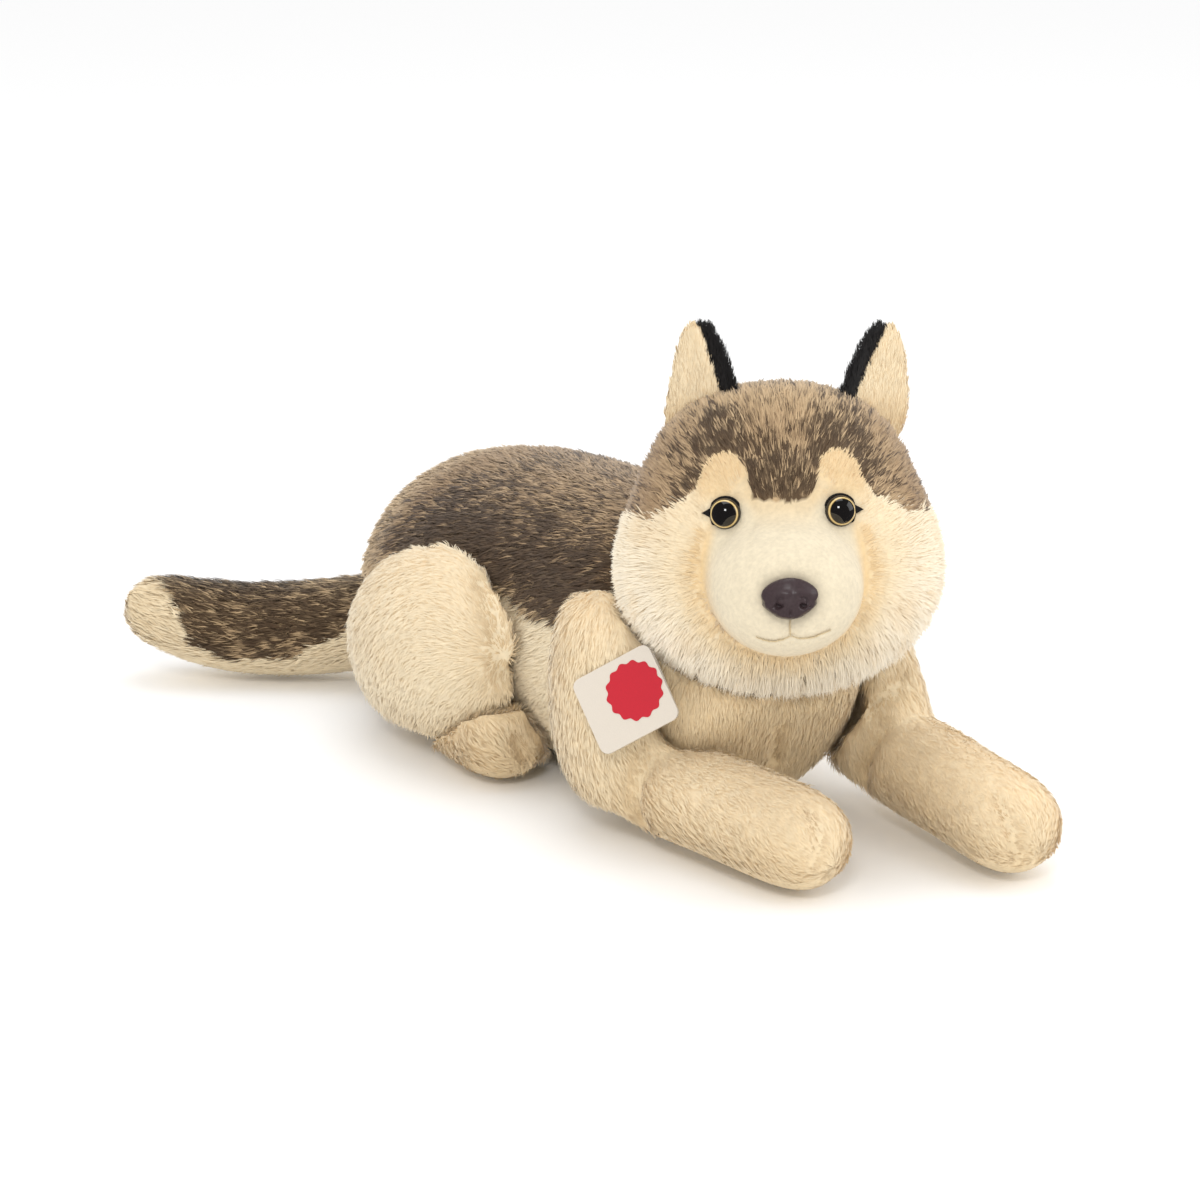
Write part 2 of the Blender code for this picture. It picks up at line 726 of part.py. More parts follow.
def make_nose(tree, fabrics):
    start = Vector((0, MUZZLE_TIP_Y * 2, NOSE_Z))
    hit, _, _, _ = tree.ray_cast(start, Vector((0, 1, 0)))
    axis = Vector((0, -1, 0.22)).normalized()
    frame = fitting_frame("nose_frame", hit - axis * NOSE_SINK, axis)
    nose = nose_cage("nose", frame, "nose_plastic")
    for side in (-1, 1):
        nostril = ellipsoid(f"nostril_cutter_{side + 1}",
                            (NOSTRIL_X * side, NOSTRIL_Z, NOSE_DEPTH),
                            (NOSTRIL_DIAMETER / 2, NOSTRIL_DIAMETER / 2, NOSE_DEPTH * 0.32),
                            parent=frame, segments=12, rings=8)
        cut(nose, nostril)
    shank_top = [(0, NOSE_DEPTH / 2), (SHANK_DIAMETER / 2, NOSE_DEPTH / 2)]
    shank = turned("nose_shank", shank_profile(shank_top, -SHANK_LENGTH), parent=frame)
    cut(nose, shank, "UNION")
    washer("nose_washer", frame)
    room = pocket("nose_pocket", SHANK_DIAMETER / 2 + FIT_GAP * 2, NOSE_SINK, frame)
    swollen = nose_cage("nose_print", frame)
    swell(swollen, FIT_GAP)
    for fabric in fabrics:
        cut(fabric, swollen)
        cut(fabric, room)


# Ears

def ear_cage(layer, side, edge):
    """An open grid for one fabric of an ear, cupped forward. edge is how much narrower it is inside."""
    widths = (1.00, 0.98, 0.85, 0.62, 0.26)
    columns = (-1.0, 0.0, 1.0)
    bm = bmesh.new()
    grid = []
    for row, width in enumerate(widths):
        height = EAR_HEIGHT * row / (len(widths) - 1)
        points = []
        for column in columns:
            x = column * width * EAR_WIDTH / 2
            if column * side < 0:
                x += side * min(edge, abs(x) * 0.8)
            share = x / (EAR_WIDTH / 2)
            curl = EAR_CUP * share * share * (1.0 - 0.5 * row / (len(widths) - 1))
            points.append(bm.verts.new((x, layer - curl, height)))
        grid.append(points)
    for low, high in zip(grid, grid[1:]):
        for step in range(len(columns) - 1):
            bm.faces.new((low[step], low[step + 1], high[step + 1], high[step]))
    return bm


def ear_fabric(name, layer, edge, side, frame, look=None):
    ear = mesh_object(name, ear_cage(layer, side, edge), look, frame)
    solid = ear.modifiers.new("thickness", "SOLIDIFY")
    solid.thickness = EAR_LAYER
    solid.offset = 0.0
    subdivide(ear, 1)
    split_faces(ear)
    return ear


def make_ear(side_name, side, x, splay, head_outer):
    frame = bpy.data.objects.new(f"ear_frame_{side_name}", None)
    PARTS.objects.link(frame)
    frame.parent = head_frame
    frame.location = (x * side, EAR_Y, EAR_ROOT_Z)
    frame.rotation_euler = (0, splay * side, EAR_TURN * side)
    layer = EAR_LAYER / 2 + FIT_GAP / 2
    lining = ear_fabric(f"ear_lining_{side_name}", -layer, EAR_EDGE, side, frame, "short_cream_plush")
    back = ear_fabric(f"ear_back_{side_name}", layer, 0.0, side, frame, "black_plush")
    back_outer = ear_fabric(f"ear_back_{side_name}_outer", layer, 0.0, side, frame)
    swell(back_outer, FIT_GAP)
    cut(lining, back_outer)
    for ear in (lining, back):
        cut(ear, head_outer)


# Limbs

def make_upper_arm(side_name, side, elbow, cutters):
    top, low = Vector(SHOULDER_TOP), Vector(elbow)
    sizes = ((0.0, 0.42), (0.12, 0.80), (0.45, 0.98), (0.80, 1.0), (1.06, 0.82), (1.20, 0.40))
    stations = []
    for share, size in sizes:
        x, y, z = top.lerp(low, share)
        stations.append(((x * side, y, z), UPPER_ARM_HALF_WIDTH * size, UPPER_ARM_HALF_DEPTH * size))
    arm = loft(f"upper_arm_{side_name}", stations, "cream_plush", ring=10, along=(0, 0, -1))
    copy = loft(f"upper_arm_{side_name}_outer", stations, ring=10, along=(0, 0, -1))
    swell(copy, FIT_GAP)
    for cutter in cutters:
        cut(arm, cutter)
    return arm, copy


def make_foreleg(side_name, side, root, paw, cutters):
    root, tip = Vector(root), Vector(paw)
    root.x *= side
    tip.x *= side
    leg, toe = FORELEG_HALF_WIDTH, FRONT_PAW_HALF_WIDTH
    sizes = ((-0.08, 0.55 * leg), (0.05, 1.02 * leg), (0.45, 0.94 * leg),
             (0.78, toe), (1.0, toe), (1.14, 0.62 * toe))
    stations = [(tuple(root.lerp(tip, share)), size, size) for share, size in sizes]
    foreleg = loft(f"foreleg_{side_name}", stations, "cream_plush", ring=10)
    for cutter in cutters:
        cut(foreleg, cutter)
    return foreleg


def make_thigh(side_name, side, cutters):
    middle = (THIGH_MIDDLE[0] * side, THIGH_MIDDLE[1], THIGH_MIDDLE[2])
    thigh = ellipsoid(f"thigh_{side_name}", middle, THIGH_HALF_SIZE, "cream_plush", tilt=-THIGH_TILT)
    copy = ellipsoid(f"thigh_{side_name}_outer", middle, THIGH_HALF_SIZE, tilt=-THIGH_TILT)
    swell(copy, FIT_GAP)
    for cutter in cutters:
        cut(thigh, cutter)
    return thigh, copy


def make_hind_paw(side_name, side, cutters):
    x = HIND_PAW_X * side
    length = HIND_PAW_HEEL_Y - HIND_PAW_TOE_Y
    z = HIND_PAW_HALF_HEIGHT - 0.001
    sizes = ((0.0, 0.60), (0.12, 0.96), (0.45, 1.0), (0.85, 0.86), (1.0, 0.50))
    stations = [((x, HIND_PAW_TOE_Y + share * length, z),
                 HIND_PAW_HALF_WIDTH * size, HIND_PAW_HALF_HEIGHT * size) for share, size in sizes]
    paw = loft(f"hind_paw_{side_name}", stations, "cream_plush", ring=10)
    for cutter in cutters:
        cut(paw, cutter)
    return paw


def make_tail(floor, torso_outer):
    half = TAIL_HALF_WIDTH
    sizes = (0.86, 0.98, 1.02, 1.0, 0.96, 0.86, 0.50)
    stations = [(point, half * size, half * size) for point, size in zip(TAIL_PATH, sizes)]
    inner = loft("tail_inner", stations, ring=10)
    swell(inner, -PANEL_THICKNESS)
    seat = loft("tail_inner_seat", stations, ring=10)
    swell(seat, FIT_GAP - PANEL_THICKNESS)
    high = TAIL_HALF_WIDTH * 4
    end, root, low = -TAIL_MARK_END, TAIL_SEAM_ROOT_Z, TAIL_SEAM_LOW_Z
    mark = eased([(0.06, root + 0.006), (end + 0.085, root), (end + 0.050, low + 0.004),
                  (end + 0.022, low), (end + 0.006, low + 0.010), (end, low + 0.028)])
    mark += [(-TAIL_MARK_END, high), (0.06, high)]
    region = prism("tail_region", [mark], FRONT_VIEW)
    recess = prism("tail_recess", [offset_outline(mark, FIT_GAP)], FRONT_VIEW)
    cut(recess, inner)
    tail = loft("tail", stations, "cream_plush", ring=10)
    cut(tail, recess)
    panel = loft("tail_panel", stations, "grey_brown_plush", ring=10)
    cut(panel, seat)
    cut(panel, region, "INTERSECT")
    for obj in (tail, panel):
        cut(obj, torso_outer)
        cut(obj, floor)
    return tail, panel


# Swing tag

def folded_outline():
    """Side view of the folded card: two leaves that meet at the fold and stand open."""
    half = TAG_OPENING / 2 + TAG_CARD
    fold = TAG_CARD / 2 + FIT_GAP
    return [(0.0, fold), (TAG_WIDTH, half), (TAG_WIDTH, half - TAG_CARD), (TAG_CARD, FIT_GAP),
            (TAG_CARD, -FIT_GAP), (TAG_WIDTH, TAG_CARD - half), (TAG_WIDTH, -half), (0.0, -fold)]


def closed_outline():
    """Side view of the room that the tag takes, from outside its two leaves."""
    half = TAG_OPENING / 2 + TAG_CARD + FIT_GAP
    fold = TAG_CARD / 2 + 2 * FIT_GAP
    return [(-FIT_GAP, fold), (TAG_WIDTH + FIT_GAP, half), (TAG_WIDTH + FIT_GAP, -half),
            (-FIT_GAP, -fold)]


def rounded_rectangle(length, width, corner, steps=4):
    points = []
    x, y = length / 2 - corner, width / 2 - corner
    for quarter, (middle_x, middle_y) in enumerate(((x, y), (-x, y), (-x, -y), (x, -y))):
        for step in range(steps + 1):
            angle = math.pi / 2 * (quarter + step / steps)
            points.append((middle_x + corner * math.cos(angle), middle_y + corner * math.sin(angle)))
    return points


def make_tag():
    frame = bpy.data.objects.new("tag_frame", None)
    PARTS.objects.link(frame)
    frame.location = TAG_MIDDLE
    frame.rotation_euler = TAG_ROTATION
    across = SIDE_VIEW.copy()
    across.translation = (0, -TAG_WIDTH / 2, 0)
    tag = prism("swing_tag", [folded_outline()], across, TAG_LENGTH / 2, "card", frame)
    corners = rounded_rectangle(TAG_LENGTH, TAG_WIDTH, TAG_CORNER)
    cut(tag, prism("tag_trim", [corners], Matrix.Identity(4), parent=frame), "INTERSECT")
    return prism("tag_room", [closed_outline()], across, TAG_LENGTH / 2 + FIT_GAP, parent=frame)


# Assembly

def make_wolf():
    floor = box("floor_cutter", (-1, -1, -FLOOR_DEPTH), (1, 1, 0))
    torso, back_panel, torso_outer = make_torso(floor)
    head, crown, face, head_outer = make_head()
    muzzle = make_muzzle(head_outer)
    bpy.context.view_layer.update()

    face_tree = shape_of(head_outer)
    muzzle_tree = shape_of(muzzle)
    for side_name, side in MIRRORED.items():
        make_eye(side_name, side, face_tree, (head, face, crown, muzzle))
    make_ear("right", -1, RIGHT_EAR_X, RIGHT_EAR_SPLAY, head_outer)
    make_ear("left", 1, LEFT_EAR_X, LEFT_EAR_SPLAY, head_outer)
    make_nose(muzzle_tree, (muzzle, head, face))

    tag_room = make_tag()
    for obj in (torso, back_panel):
        cut(obj, head_outer)
    for obj in (head, torso):
        cut(obj, tag_room)

    elbows = {"right": RIGHT_ELBOW, "left": LEFT_ELBOW}
    legs = {"right": (RIGHT_FORELEG_ROOT, RIGHT_PAW), "left": (LEFT_FORELEG_ROOT, LEFT_PAW)}
    for side_name, side in MIRRORED.items():
        _, arm_outer = make_upper_arm(side_name, side, elbows[side_name],
                                      (torso_outer, head_outer, floor, tag_room))
        root, paw = legs[side_name]
        make_foreleg(side_name, side, root, paw, (arm_outer, torso_outer, head_outer, floor))
        _, thigh_outer = make_thigh(side_name, side, (torso_outer, floor))
        make_hind_paw(side_name, side, (thigh_outer, torso_outer, floor))
    make_tail(floor, torso_outer)


make_wolf()
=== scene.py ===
import math

import bmesh
import bpy
import numpy as np
from mathutils import Euler, Matrix, Vector
from mathutils.bvhtree import BVHTree
from mathutils.kdtree import KDTree


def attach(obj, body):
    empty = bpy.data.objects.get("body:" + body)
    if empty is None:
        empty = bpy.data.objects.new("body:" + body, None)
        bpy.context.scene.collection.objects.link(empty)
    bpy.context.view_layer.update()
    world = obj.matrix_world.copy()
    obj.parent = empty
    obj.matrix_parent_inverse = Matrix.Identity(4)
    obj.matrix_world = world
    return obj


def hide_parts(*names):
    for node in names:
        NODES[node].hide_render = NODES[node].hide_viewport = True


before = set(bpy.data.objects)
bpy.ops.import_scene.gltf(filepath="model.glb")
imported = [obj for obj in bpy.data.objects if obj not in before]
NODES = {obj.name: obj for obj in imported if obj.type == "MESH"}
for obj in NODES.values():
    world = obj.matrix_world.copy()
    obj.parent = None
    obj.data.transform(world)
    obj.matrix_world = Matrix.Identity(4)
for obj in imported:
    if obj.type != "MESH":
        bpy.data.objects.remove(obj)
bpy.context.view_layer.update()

STRANDS = 380000   # in all the coats together
STRANDS_A_PIECE = 90000
THICKER = 1.06   # fewer strands are wider
SKIN_FLOOR, ROOT_FLOOR, STRAND_FLOOR = 0.0012, 0.0013, 0.0006   # lowest heights above the floor


# Colours

def srgb(red, green, blue):
    """A linear colour from 0 to 255 values."""
    values = np.array((red, green, blue)) / 255.0
    return np.where(values <= 0.04045, values / 12.92, ((values + 0.055) / 1.055) ** 2.4)


CREAM = srgb(240, 225, 195)
CREAM_LIGHT = srgb(247, 238, 220)
# roots darker than the tips: painted shade deep in the pile
CREAM_ROOT_SHADE = srgb(236, 217, 182)
VELVET = srgb(222, 209, 182)
GOLD = srgb(229, 204, 160)
# painted shade deep in golden pile, at its roots and in creases
GOLD_ROOT_SHADE = srgb(222, 192, 144)
# the brow's golden colour, also painted as shade under the peak of the cap
BROW_GOLD_AND_SHADE = srgb(220, 190, 142)
# painted shade along the edge of the muzzle
MUZZLE_EDGE_SHADE = srgb(222, 188, 134)
# the colour of seams and stitches, also painted as shade in grooves and at the base of the ears
TAN_LINE_AND_SHADE = srgb(196, 160, 112)
SAND = srgb(214, 188, 148)
TAUPE = srgb(132, 101, 69)
BROWN = srgb(66, 43, 26)
DARK = srgb(40, 26, 17)
ASH = srgb(170, 142, 108)
BLACK = srgb(26, 23, 23)


# Camera

CAMERA_TARGET = Vector((-0.042, 0.0, 0.100))
CAMERA_AZIMUTH = math.radians(-30)
CAMERA_ELEVATION = math.radians(16)
CAMERA_DISTANCE = 1.6
CAMERA_LENS = 100.0
SENSOR = 36.0
FRAME_PIXELS = 1200

camera_back = Vector((math.sin(CAMERA_AZIMUTH) * math.cos(CAMERA_ELEVATION),
                      -math.cos(CAMERA_AZIMUTH) * math.cos(CAMERA_ELEVATION),
                      math.sin(CAMERA_ELEVATION)))
camera_rotation = camera_back.to_track_quat("Z", "Y")
camera_place = CAMERA_TARGET + camera_back * CAMERA_DISTANCE


def add_camera():
    data = bpy.data.cameras.new("camera")
    data.lens = CAMERA_LENS
    data.sensor_width = SENSOR
    data.clip_start = 0.01
    obj = bpy.data.objects.new("camera", data)
    bpy.context.scene.collection.objects.link(obj)
    obj.location = camera_place
    obj.rotation_euler = camera_rotation.to_euler()
    bpy.context.scene.camera = obj


def from_frame(tree, pixels):
    """Points on a surface that show at places of the 1200 by 1200 frame."""
    made = []
    for x, y in pixels:
        across = (x - FRAME_PIXELS / 2) / FRAME_PIXELS * SENSOR
        up = (FRAME_PIXELS / 2 - y) / FRAME_PIXELS * SENSOR
        ray = camera_rotation @ Vector((across, up, -CAMERA_LENS)).normalized()
        hit = tree.ray_cast(camera_place, ray)
        if hit[0] is not None:
            made.append(np.array(hit[0]))
    return np.array(made)


# Noise and small maths

def smooth(low, high, x):
    t = np.clip((x - low) / (high - low), 0.0, 1.0)
    return t * t * (3 - 2 * t)


def mix(a, b, t):
    t = np.asarray(t)
    return a + (b - a) * (t[..., None] if np.ndim(a) == 1 or np.ndim(a) == np.ndim(t) + 1 else t)


def unit(v):
    return v / np.maximum(np.linalg.norm(v, axis=-1, keepdims=True), 1e-9)


def lattice(cell, seed):
    n = cell[..., 0] * 374761393 + cell[..., 1] * 668265263 + cell[..., 2] * 2147483647 + seed * 144665
    n = (n ^ (n >> 13)) * 1274126177
    n = n ^ (n >> 16)
    return (n & 0xFFFFFF).astype(float) / 0xFFFFFF


def noise(points, size, seed=0):
    """Smooth value noise from 0 to 1 with features of the given size in metres."""
    p = points / size
    cell = np.floor(p).astype(np.int64)
    t = p - cell
    t = t * t * (3 - 2 * t)
    total = np.zeros(len(points))
    for dx in (0, 1):
        for dy in (0, 1):
            for dz in (0, 1):
                weight = ((t[:, 0] if dx else 1 - t[:, 0]) * (t[:, 1] if dy else 1 - t[:, 1])
                          * (t[:, 2] if dz else 1 - t[:, 2]))
                total += weight * lattice(cell + np.array((dx, dy, dz)), seed)
    return total


def line_distance(points, line):
    """Distance of each point to a polyline."""
    best = np.full(len(points), 1.0)
    for a, b in zip(line, line[1:]):
        along = b - a
        t = np.clip(((points - a) @ along) / max(along @ along, 1e-12), 0, 1)
        best = np.minimum(best, np.linalg.norm(points - (a + t[:, None] * along), axis=1))
    return best


# Head frame, as the solids have it

HEAD_PLACE = Matrix.Translation((0.0025, -0.087, 0.1465)) @ Euler(
    (math.radians(-7.3), math.radians(-1.5), math.radians(-30.2)), "XYZ").to_matrix().to_4x4()
HEAD_TURN = np.array(HEAD_PLACE.to_3x3())
HEAD_MIDDLE = np.array(HEAD_PLACE.translation)


def in_head(points):
    return (points - HEAD_MIDDLE) @ HEAD_TURN


def out_of_head(vectors):
    return vectors @ HEAD_TURN.T


# Meshes

def new_object(name, mesh):
    obj = bpy.data.objects.new(name, mesh)
    bpy.context.scene.collection.objects.link(obj)
    return obj


def joined_nodes(name, nodes):
    bm = bmesh.new()
    for node in nodes:
        bm.from_mesh(NODES[node].data)
    mesh = bpy.data.meshes.new(name)
    bm.to_mesh(mesh)
    bm.free()
    mesh.materials.clear()
    return new_object(name, mesh)


def apply_modifiers(obj):
    graph = bpy.context.evaluated_depsgraph_get()
    mesh = bpy.data.meshes.new_from_object(obj.evaluated_get(graph))
    old = obj.data
    obj.modifiers.clear()
    obj.data = mesh
    bpy.data.meshes.remove(old)


def vertices_of(mesh):
    made = np.empty(len(mesh.vertices) * 3)
    mesh.vertices.foreach_get("co", made)
    return made.reshape(-1, 3)


def normals_of(mesh):
    made = np.empty(len(mesh.vertices) * 3)
    mesh.vertex_normals.foreach_get("vector", made)
    return made.reshape(-1, 3)


def move_points(obj, points):
    obj.data.vertices.foreach_set("co", points.ravel())
    obj.data.update()


def smooth_faces(mesh):
    for face in mesh.polygons:
        face.use_smooth = True


def rounded_copy(name, nodes, voxel, smoothing):
    """A copy of solids as one even mesh with soft edges."""
    obj = joined_nodes(name, nodes)
    remesh = obj.modifiers.new("remesh", "REMESH")
    remesh.mode = "VOXEL"
    remesh.voxel_size = voxel
    soften = obj.modifiers.new("soften", "SMOOTH")
    soften.factor = 0.5
    soften.iterations = smoothing
    apply_modifiers(obj)
    return obj


def tree_of(obj):
    mesh = obj.data
    return BVHTree.FromPolygons([v.co for v in mesh.vertices], [tuple(p.vertices) for p in mesh.polygons])


def stuff(obj, pressure=4.0, most=0.004):
    """Fills the cloth bag: a short cloth simulation with pressure, capped and applied."""
    before = vertices_of(obj.data)
    cloth = obj.modifiers.new("stuffing", "CLOTH")
    settings = cloth.settings
    settings.quality = 4
    settings.mass = 0.15
    settings.tension_stiffness = settings.compression_stiffness = 12
    settings.shear_stiffness = 6
    settings.bending_stiffness = 0.6
    settings.use_pressure = True
    settings.uniform_pressure_force = pressure
    settings.effector_weights.gravity = 0
    cloth.collision_settings.use_collision = False
    cloth.collision_settings.use_self_collision = False
    cloth.point_cache.frame_start = 1
    cloth.point_cache.frame_end = 14
    scene = bpy.context.scene
    for number in range(1, 15):
        scene.frame_set(number)
    graph = bpy.context.evaluated_depsgraph_get()
    filled = vertices_of(obj.evaluated_get(graph).to_mesh())
    obj.evaluated_get(graph).to_mesh_clear()
    obj.modifiers.clear()
    scene.frame_set(1)
    move = filled - before
    move -= move.mean(axis=0)
    size = np.linalg.norm(move, axis=1, keepdims=True)
    move *= np.minimum(1.0, most / np.maximum(size, 1e-9))
    after = before + move
    move_points(obj, after)


def make_skin(name, nodes, inset, voxel=0.0055, smoothing=6, pressure=4.0, most=0.003):
    """The cloth bag under the pile: the solids' shape, smaller by the height of the pile."""
    obj = rounded_copy(name, nodes, voxel, smoothing)
    stuff(obj, pressure, most)
    points, normals = vertices_of(obj.data), normals_of(obj.data)
    tree = tree_of(joined_nodes("outside", nodes))
    depth = np.empty(len(points))
    for index, point in enumerate(points):
        spot, normal, _, _ = tree.find_nearest(Vector(point))
        depth[index] = (spot - Vector(point)).dot(Vector(normals[index]))
    bpy.data.objects.remove(bpy.data.objects["outside"])
    deep = inset(points) if callable(inset) else np.full(len(points), inset)
    # the bag's own hollows and bulges stay, within the room that the pile leaves
    move = np.clip(depth, -0.003, 0.003) - deep
    points = points + normals * move[:, None]
    move_points(obj, points)
    soften = obj.modifiers.new("soften", "SMOOTH")
    soften.factor = 0.5
    soften.iterations = 2
    finer = obj.modifiers.new("finer", "SUBSURF")
    finer.levels = finer.render_levels = 1
    apply_modifiers(obj)
    smooth_faces(obj.data)
    points = vertices_of(obj.data)
    points[:, 2] = np.maximum(points[:, 2], SKIN_FLOOR)
    move_points(obj, points)
    return obj


def press(obj, lines):
    """Presses grooves into a skin. Each line is (points, width, depth, tint), the tint being its colour
    with painted shade.
    """
    if not lines:
        return
    points, normals = vertices_of(obj.data), normals_of(obj.data)
    for line, width, depth, _ in lines:
        near = line_distance(points, line)
        points -= normals * (depth * np.exp(-(near / width) ** 2))[:, None]
    points[:, 2] = np.maximum(points[:, 2], SKIN_FLOOR)
    move_points(obj, points)


# Coats of pile

class Coat:
    """Strands that grow on a skin. look gives each root its comb, length, colours and density."""

    def __init__(self, name, skin, look, lines=(), share=1.0, slot="cream_plush"):
        self.name, self.skin, self.look = name, skin, look
        self.lines, self.share, self.slot = list(lines), share, slot
        self.tree = tree_of(skin)
        self.clear_of, self.bare = [], []
        mesh = skin.data
        mesh.calc_loop_triangles()
        corners = np.empty(len(mesh.loop_triangles) * 3, dtype=np.int64)
        mesh.loop_triangles.foreach_get("vertices", corners)
        self.corners = corners.reshape(-1, 3)
        self.points, self.normals = vertices_of(mesh), normals_of(mesh)
        a, b, c = (self.points[self.corners[:, i]] for i in range(3))
        self.area = np.linalg.norm(np.cross(b - a, c - a), axis=1) / 2
        middle, normal = (a + b + c) / 3, unit(np.cross(b - a, c - a))
        self.weight = self.area * look(middle, normal)["density"]

    def grow(self, count):
        rng = np.random.default_rng(sum(map(ord, self.name)))
        chosen = rng.choice(len(self.area), size=count, p=self.weight / self.weight.sum())
        u, v = rng.random((2, count))
        over = u + v > 1
        u[over], v[over] = 1 - u[over], 1 - v[over]
        shares = np.stack((1 - u - v, u, v), axis=1)[:, :, None]
        roots = (self.points[self.corners[chosen]] * shares).sum(axis=1)
        normals = unit((self.normals[self.corners[chosen]] * shares).sum(axis=1))
        keep = self.outside(roots)
        roots, normals = roots[keep], normals[keep]
        return self.strands(roots, normals, rng)

    def outside(self, roots):
        keep = roots[:, 2] > ROOT_FLOOR
        for line, wide in self.bare:
            keep &= line_distance(roots, line) > wide
        for tree in self.clear_of:
            low = np.array(tree[1]) - 0.004
            high = np.array(tree[2]) + 0.004
            near = keep & np.all((roots > low) & (roots < high), axis=1)
            for index in np.nonzero(near)[0]:
                root = Vector(roots[index])
                spot, normal, _, _ = tree[0].find_nearest(root)
                if spot is not None and (root - spot).dot(normal) < -0.0012:
                    keep[index] = False
        return keep

    def strands(self, roots, normals, rng):
        look = self.look(roots, normals)
        count = len(roots)
        comb = look["comb"] - normals * (look["comb"] * normals).sum(axis=1, keepdims=True)
        comb = unit(comb + 1e-6)
        length, lift = look["length"].copy(), look["lift"].copy()
        width, clump = look["width"].copy(), look["clump"]
        root_colour, tip_colour = look["root"].copy(), look["tip"].copy()

        # each line tints the pile near it, the roots most: painted shade in the line's groove, together
        # with the own colour of the seams and stitches
        for line, wide, _, line_tint_and_shade in self.lines:
            near = np.exp(-(line_distance(roots, line) / wide) ** 2)
            length *= 1 - 0.55 * near
            if line_tint_and_shade is not None:
                root_colour = mix(root_colour, line_tint_and_shade * 0.8, near * 0.9)
                tip_colour = mix(tip_colour, line_tint_and_shade, near * 0.75)

        # tufts: each strand leans to its tuft's own root and shares its tone
        tufts = max(8, int(count / look["tuft"]))
        middles = rng.choice(count, size=tufts, replace=False)
        finder = KDTree(tufts)
        for number, index in enumerate(middles):
            finder.insert(roots[index], number)
        finder.balance()
        tuft = np.fromiter((finder.find(root)[1] for root in roots), dtype=np.int64, count=count)
        tuft_root = roots[middles[tuft]]
        tuft_tone = rng.random(tufts)[tuft]
        tuft_turn = rng.normal(0, 1, tufts)[tuft]
        tuft_lift = rng.normal(0, 1, tufts)[tuft]

        side = np.cross(normals, comb)
        wander = look["wander"] * (0.75 * tuft_turn + 0.6 * rng.normal(0, 1, count))
        comb = unit(comb * np.cos(wander)[:, None] + side * np.sin(wander)[:, None])
        side = np.cross(normals, comb)
        length = length * (0.82 + 0.36 * rng.random(count))
        lift = np.clip(lift * (1 + 0.18 * tuft_lift + 0.22 * rng.normal(0, 1, count)), 0.05, 1.35)
        low_lift = np.clip(lift * 1.6, 0.08, 1.5)
        first = comb * np.cos(low_lift)[:, None] + normals * np.sin(low_lift)[:, None]
        second = comb * np.cos(lift * 0.55)[:, None] + normals * np.sin(lift * 0.55)[:, None]
        second[:, 2] -= look["droop"]
        second = unit(second)

        base = roots - normals * 0.0004
        pull = tuft_root - roots
        middle = base + first * (length * 0.50)[:, None] + pull * (clump * 0.30)[:, None]
        tip = middle + second * (length * 0.52)[:, None] + pull * (clump * 0.45)[:, None]
        half = (width * THICKER * (0.75 + 0.5 * rng.random(count)) / 2)[:, None]
        twist = rng.normal(0, 0.22, count)[:, None]
        flat = -unit(side + normals * twist)
        points = np.stack((base, middle + flat * half, middle - flat * half, tip), axis=1)
        points[:, :, 2] = np.maximum(points[:, :, 2], STRAND_FLOOR)
        face = unit(np.cross(flat, unit(tip - base)))
        face *= np.where((face * normals).sum(axis=1) < 0, -1, 1)[:, None]
        shade = unit(normals * 0.88 + face * 0.12 + rng.normal(0, 0.04, (count, 3)))

        tone = 0.48 * tuft_tone + 0.52 * rng.random(count)
        root_colour, tip_colour = look["paint"](root_colour, tip_colour, tone, roots, rng)
        # each strand runs from its darker root to its tip: painted shade deep in the pile
        middle_colour = mix(root_colour, tip_colour, np.full(count, 0.60))
        colours = np.stack((root_colour, middle_colour, middle_colour, tip_colour), axis=1)
        return points, shade, colours


def plain_paint(root, tip, tone, roots, rng):
    """Cream pile: tufts that are a little lighter and a little deeper."""
    factor = (0.950 + 0.070 * tone)[:, None]
    return root * factor, np.minimum(tip * factor, 0.95)


def strand_mesh(name, points, shade, colours):
    count = len(points)
    mesh = bpy.data.meshes.new(name)
    mesh.vertices.add(count * 4)
    mesh.vertices.foreach_set("co", points.reshape(-1))
    loops = (np.arange(count)[:, None] * 4 + np.array((0, 1, 2, 2, 1, 3))).reshape(-1)
    mesh.loops.add(len(loops))
    mesh.loops.foreach_set("vertex_index", loops)
    mesh.polygons.add(count * 2)
    mesh.polygons.foreach_set("loop_start", np.arange(count * 2) * 3)
    mesh.polygons.foreach_set("use_smooth", np.ones(count * 2, dtype=bool))
    mesh.update(calc_edges=True)
    layer = mesh.color_attributes.new("pile_colour", "FLOAT_COLOR", "POINT")
    rgba = np.ones((count * 4, 4))
    rgba[:, :3] = np.clip(colours.reshape(-1, 3), 0, 1)
    layer.data.foreach_set("color", rgba.reshape(-1))
    # each strand has a cell of its own in the map that the colours can be baked to
    rows = int(math.ceil(math.sqrt(count)))
    cell = np.stack((np.arange(count) % rows, np.arange(count) // rows), axis=1) / rows
    inside = np.array(((0.5, 0.15), (0.85, 0.5), (0.15, 0.5), (0.5, 0.85))) / rows
    spots = (cell[:, None, :] + inside[None, :, :]).reshape(-1, 2)
    layout = mesh.uv_layers.new(name="OFBake")
    layout.data.foreach_set("uv", spots[loops].reshape(-1))
    mesh.normals_split_custom_set_from_vertices(np.repeat(shade, 4, axis=0))
    return mesh


# Materials

def material(name, roughness=0.8, sheen=0.0, specular=0.3):
    made = bpy.data.materials.new(name)
    made.use_nodes = True
    tree = made.node_tree
    shader = tree.nodes["Principled BSDF"]
    shader.inputs["Roughness"].default_value = roughness
    shader.inputs["Sheen Weight"].default_value = sheen
    shader.inputs["Sheen Roughness"].default_value = 0.5
    shader.inputs["Specular IOR Level"].default_value = specular
    return made, tree, shader


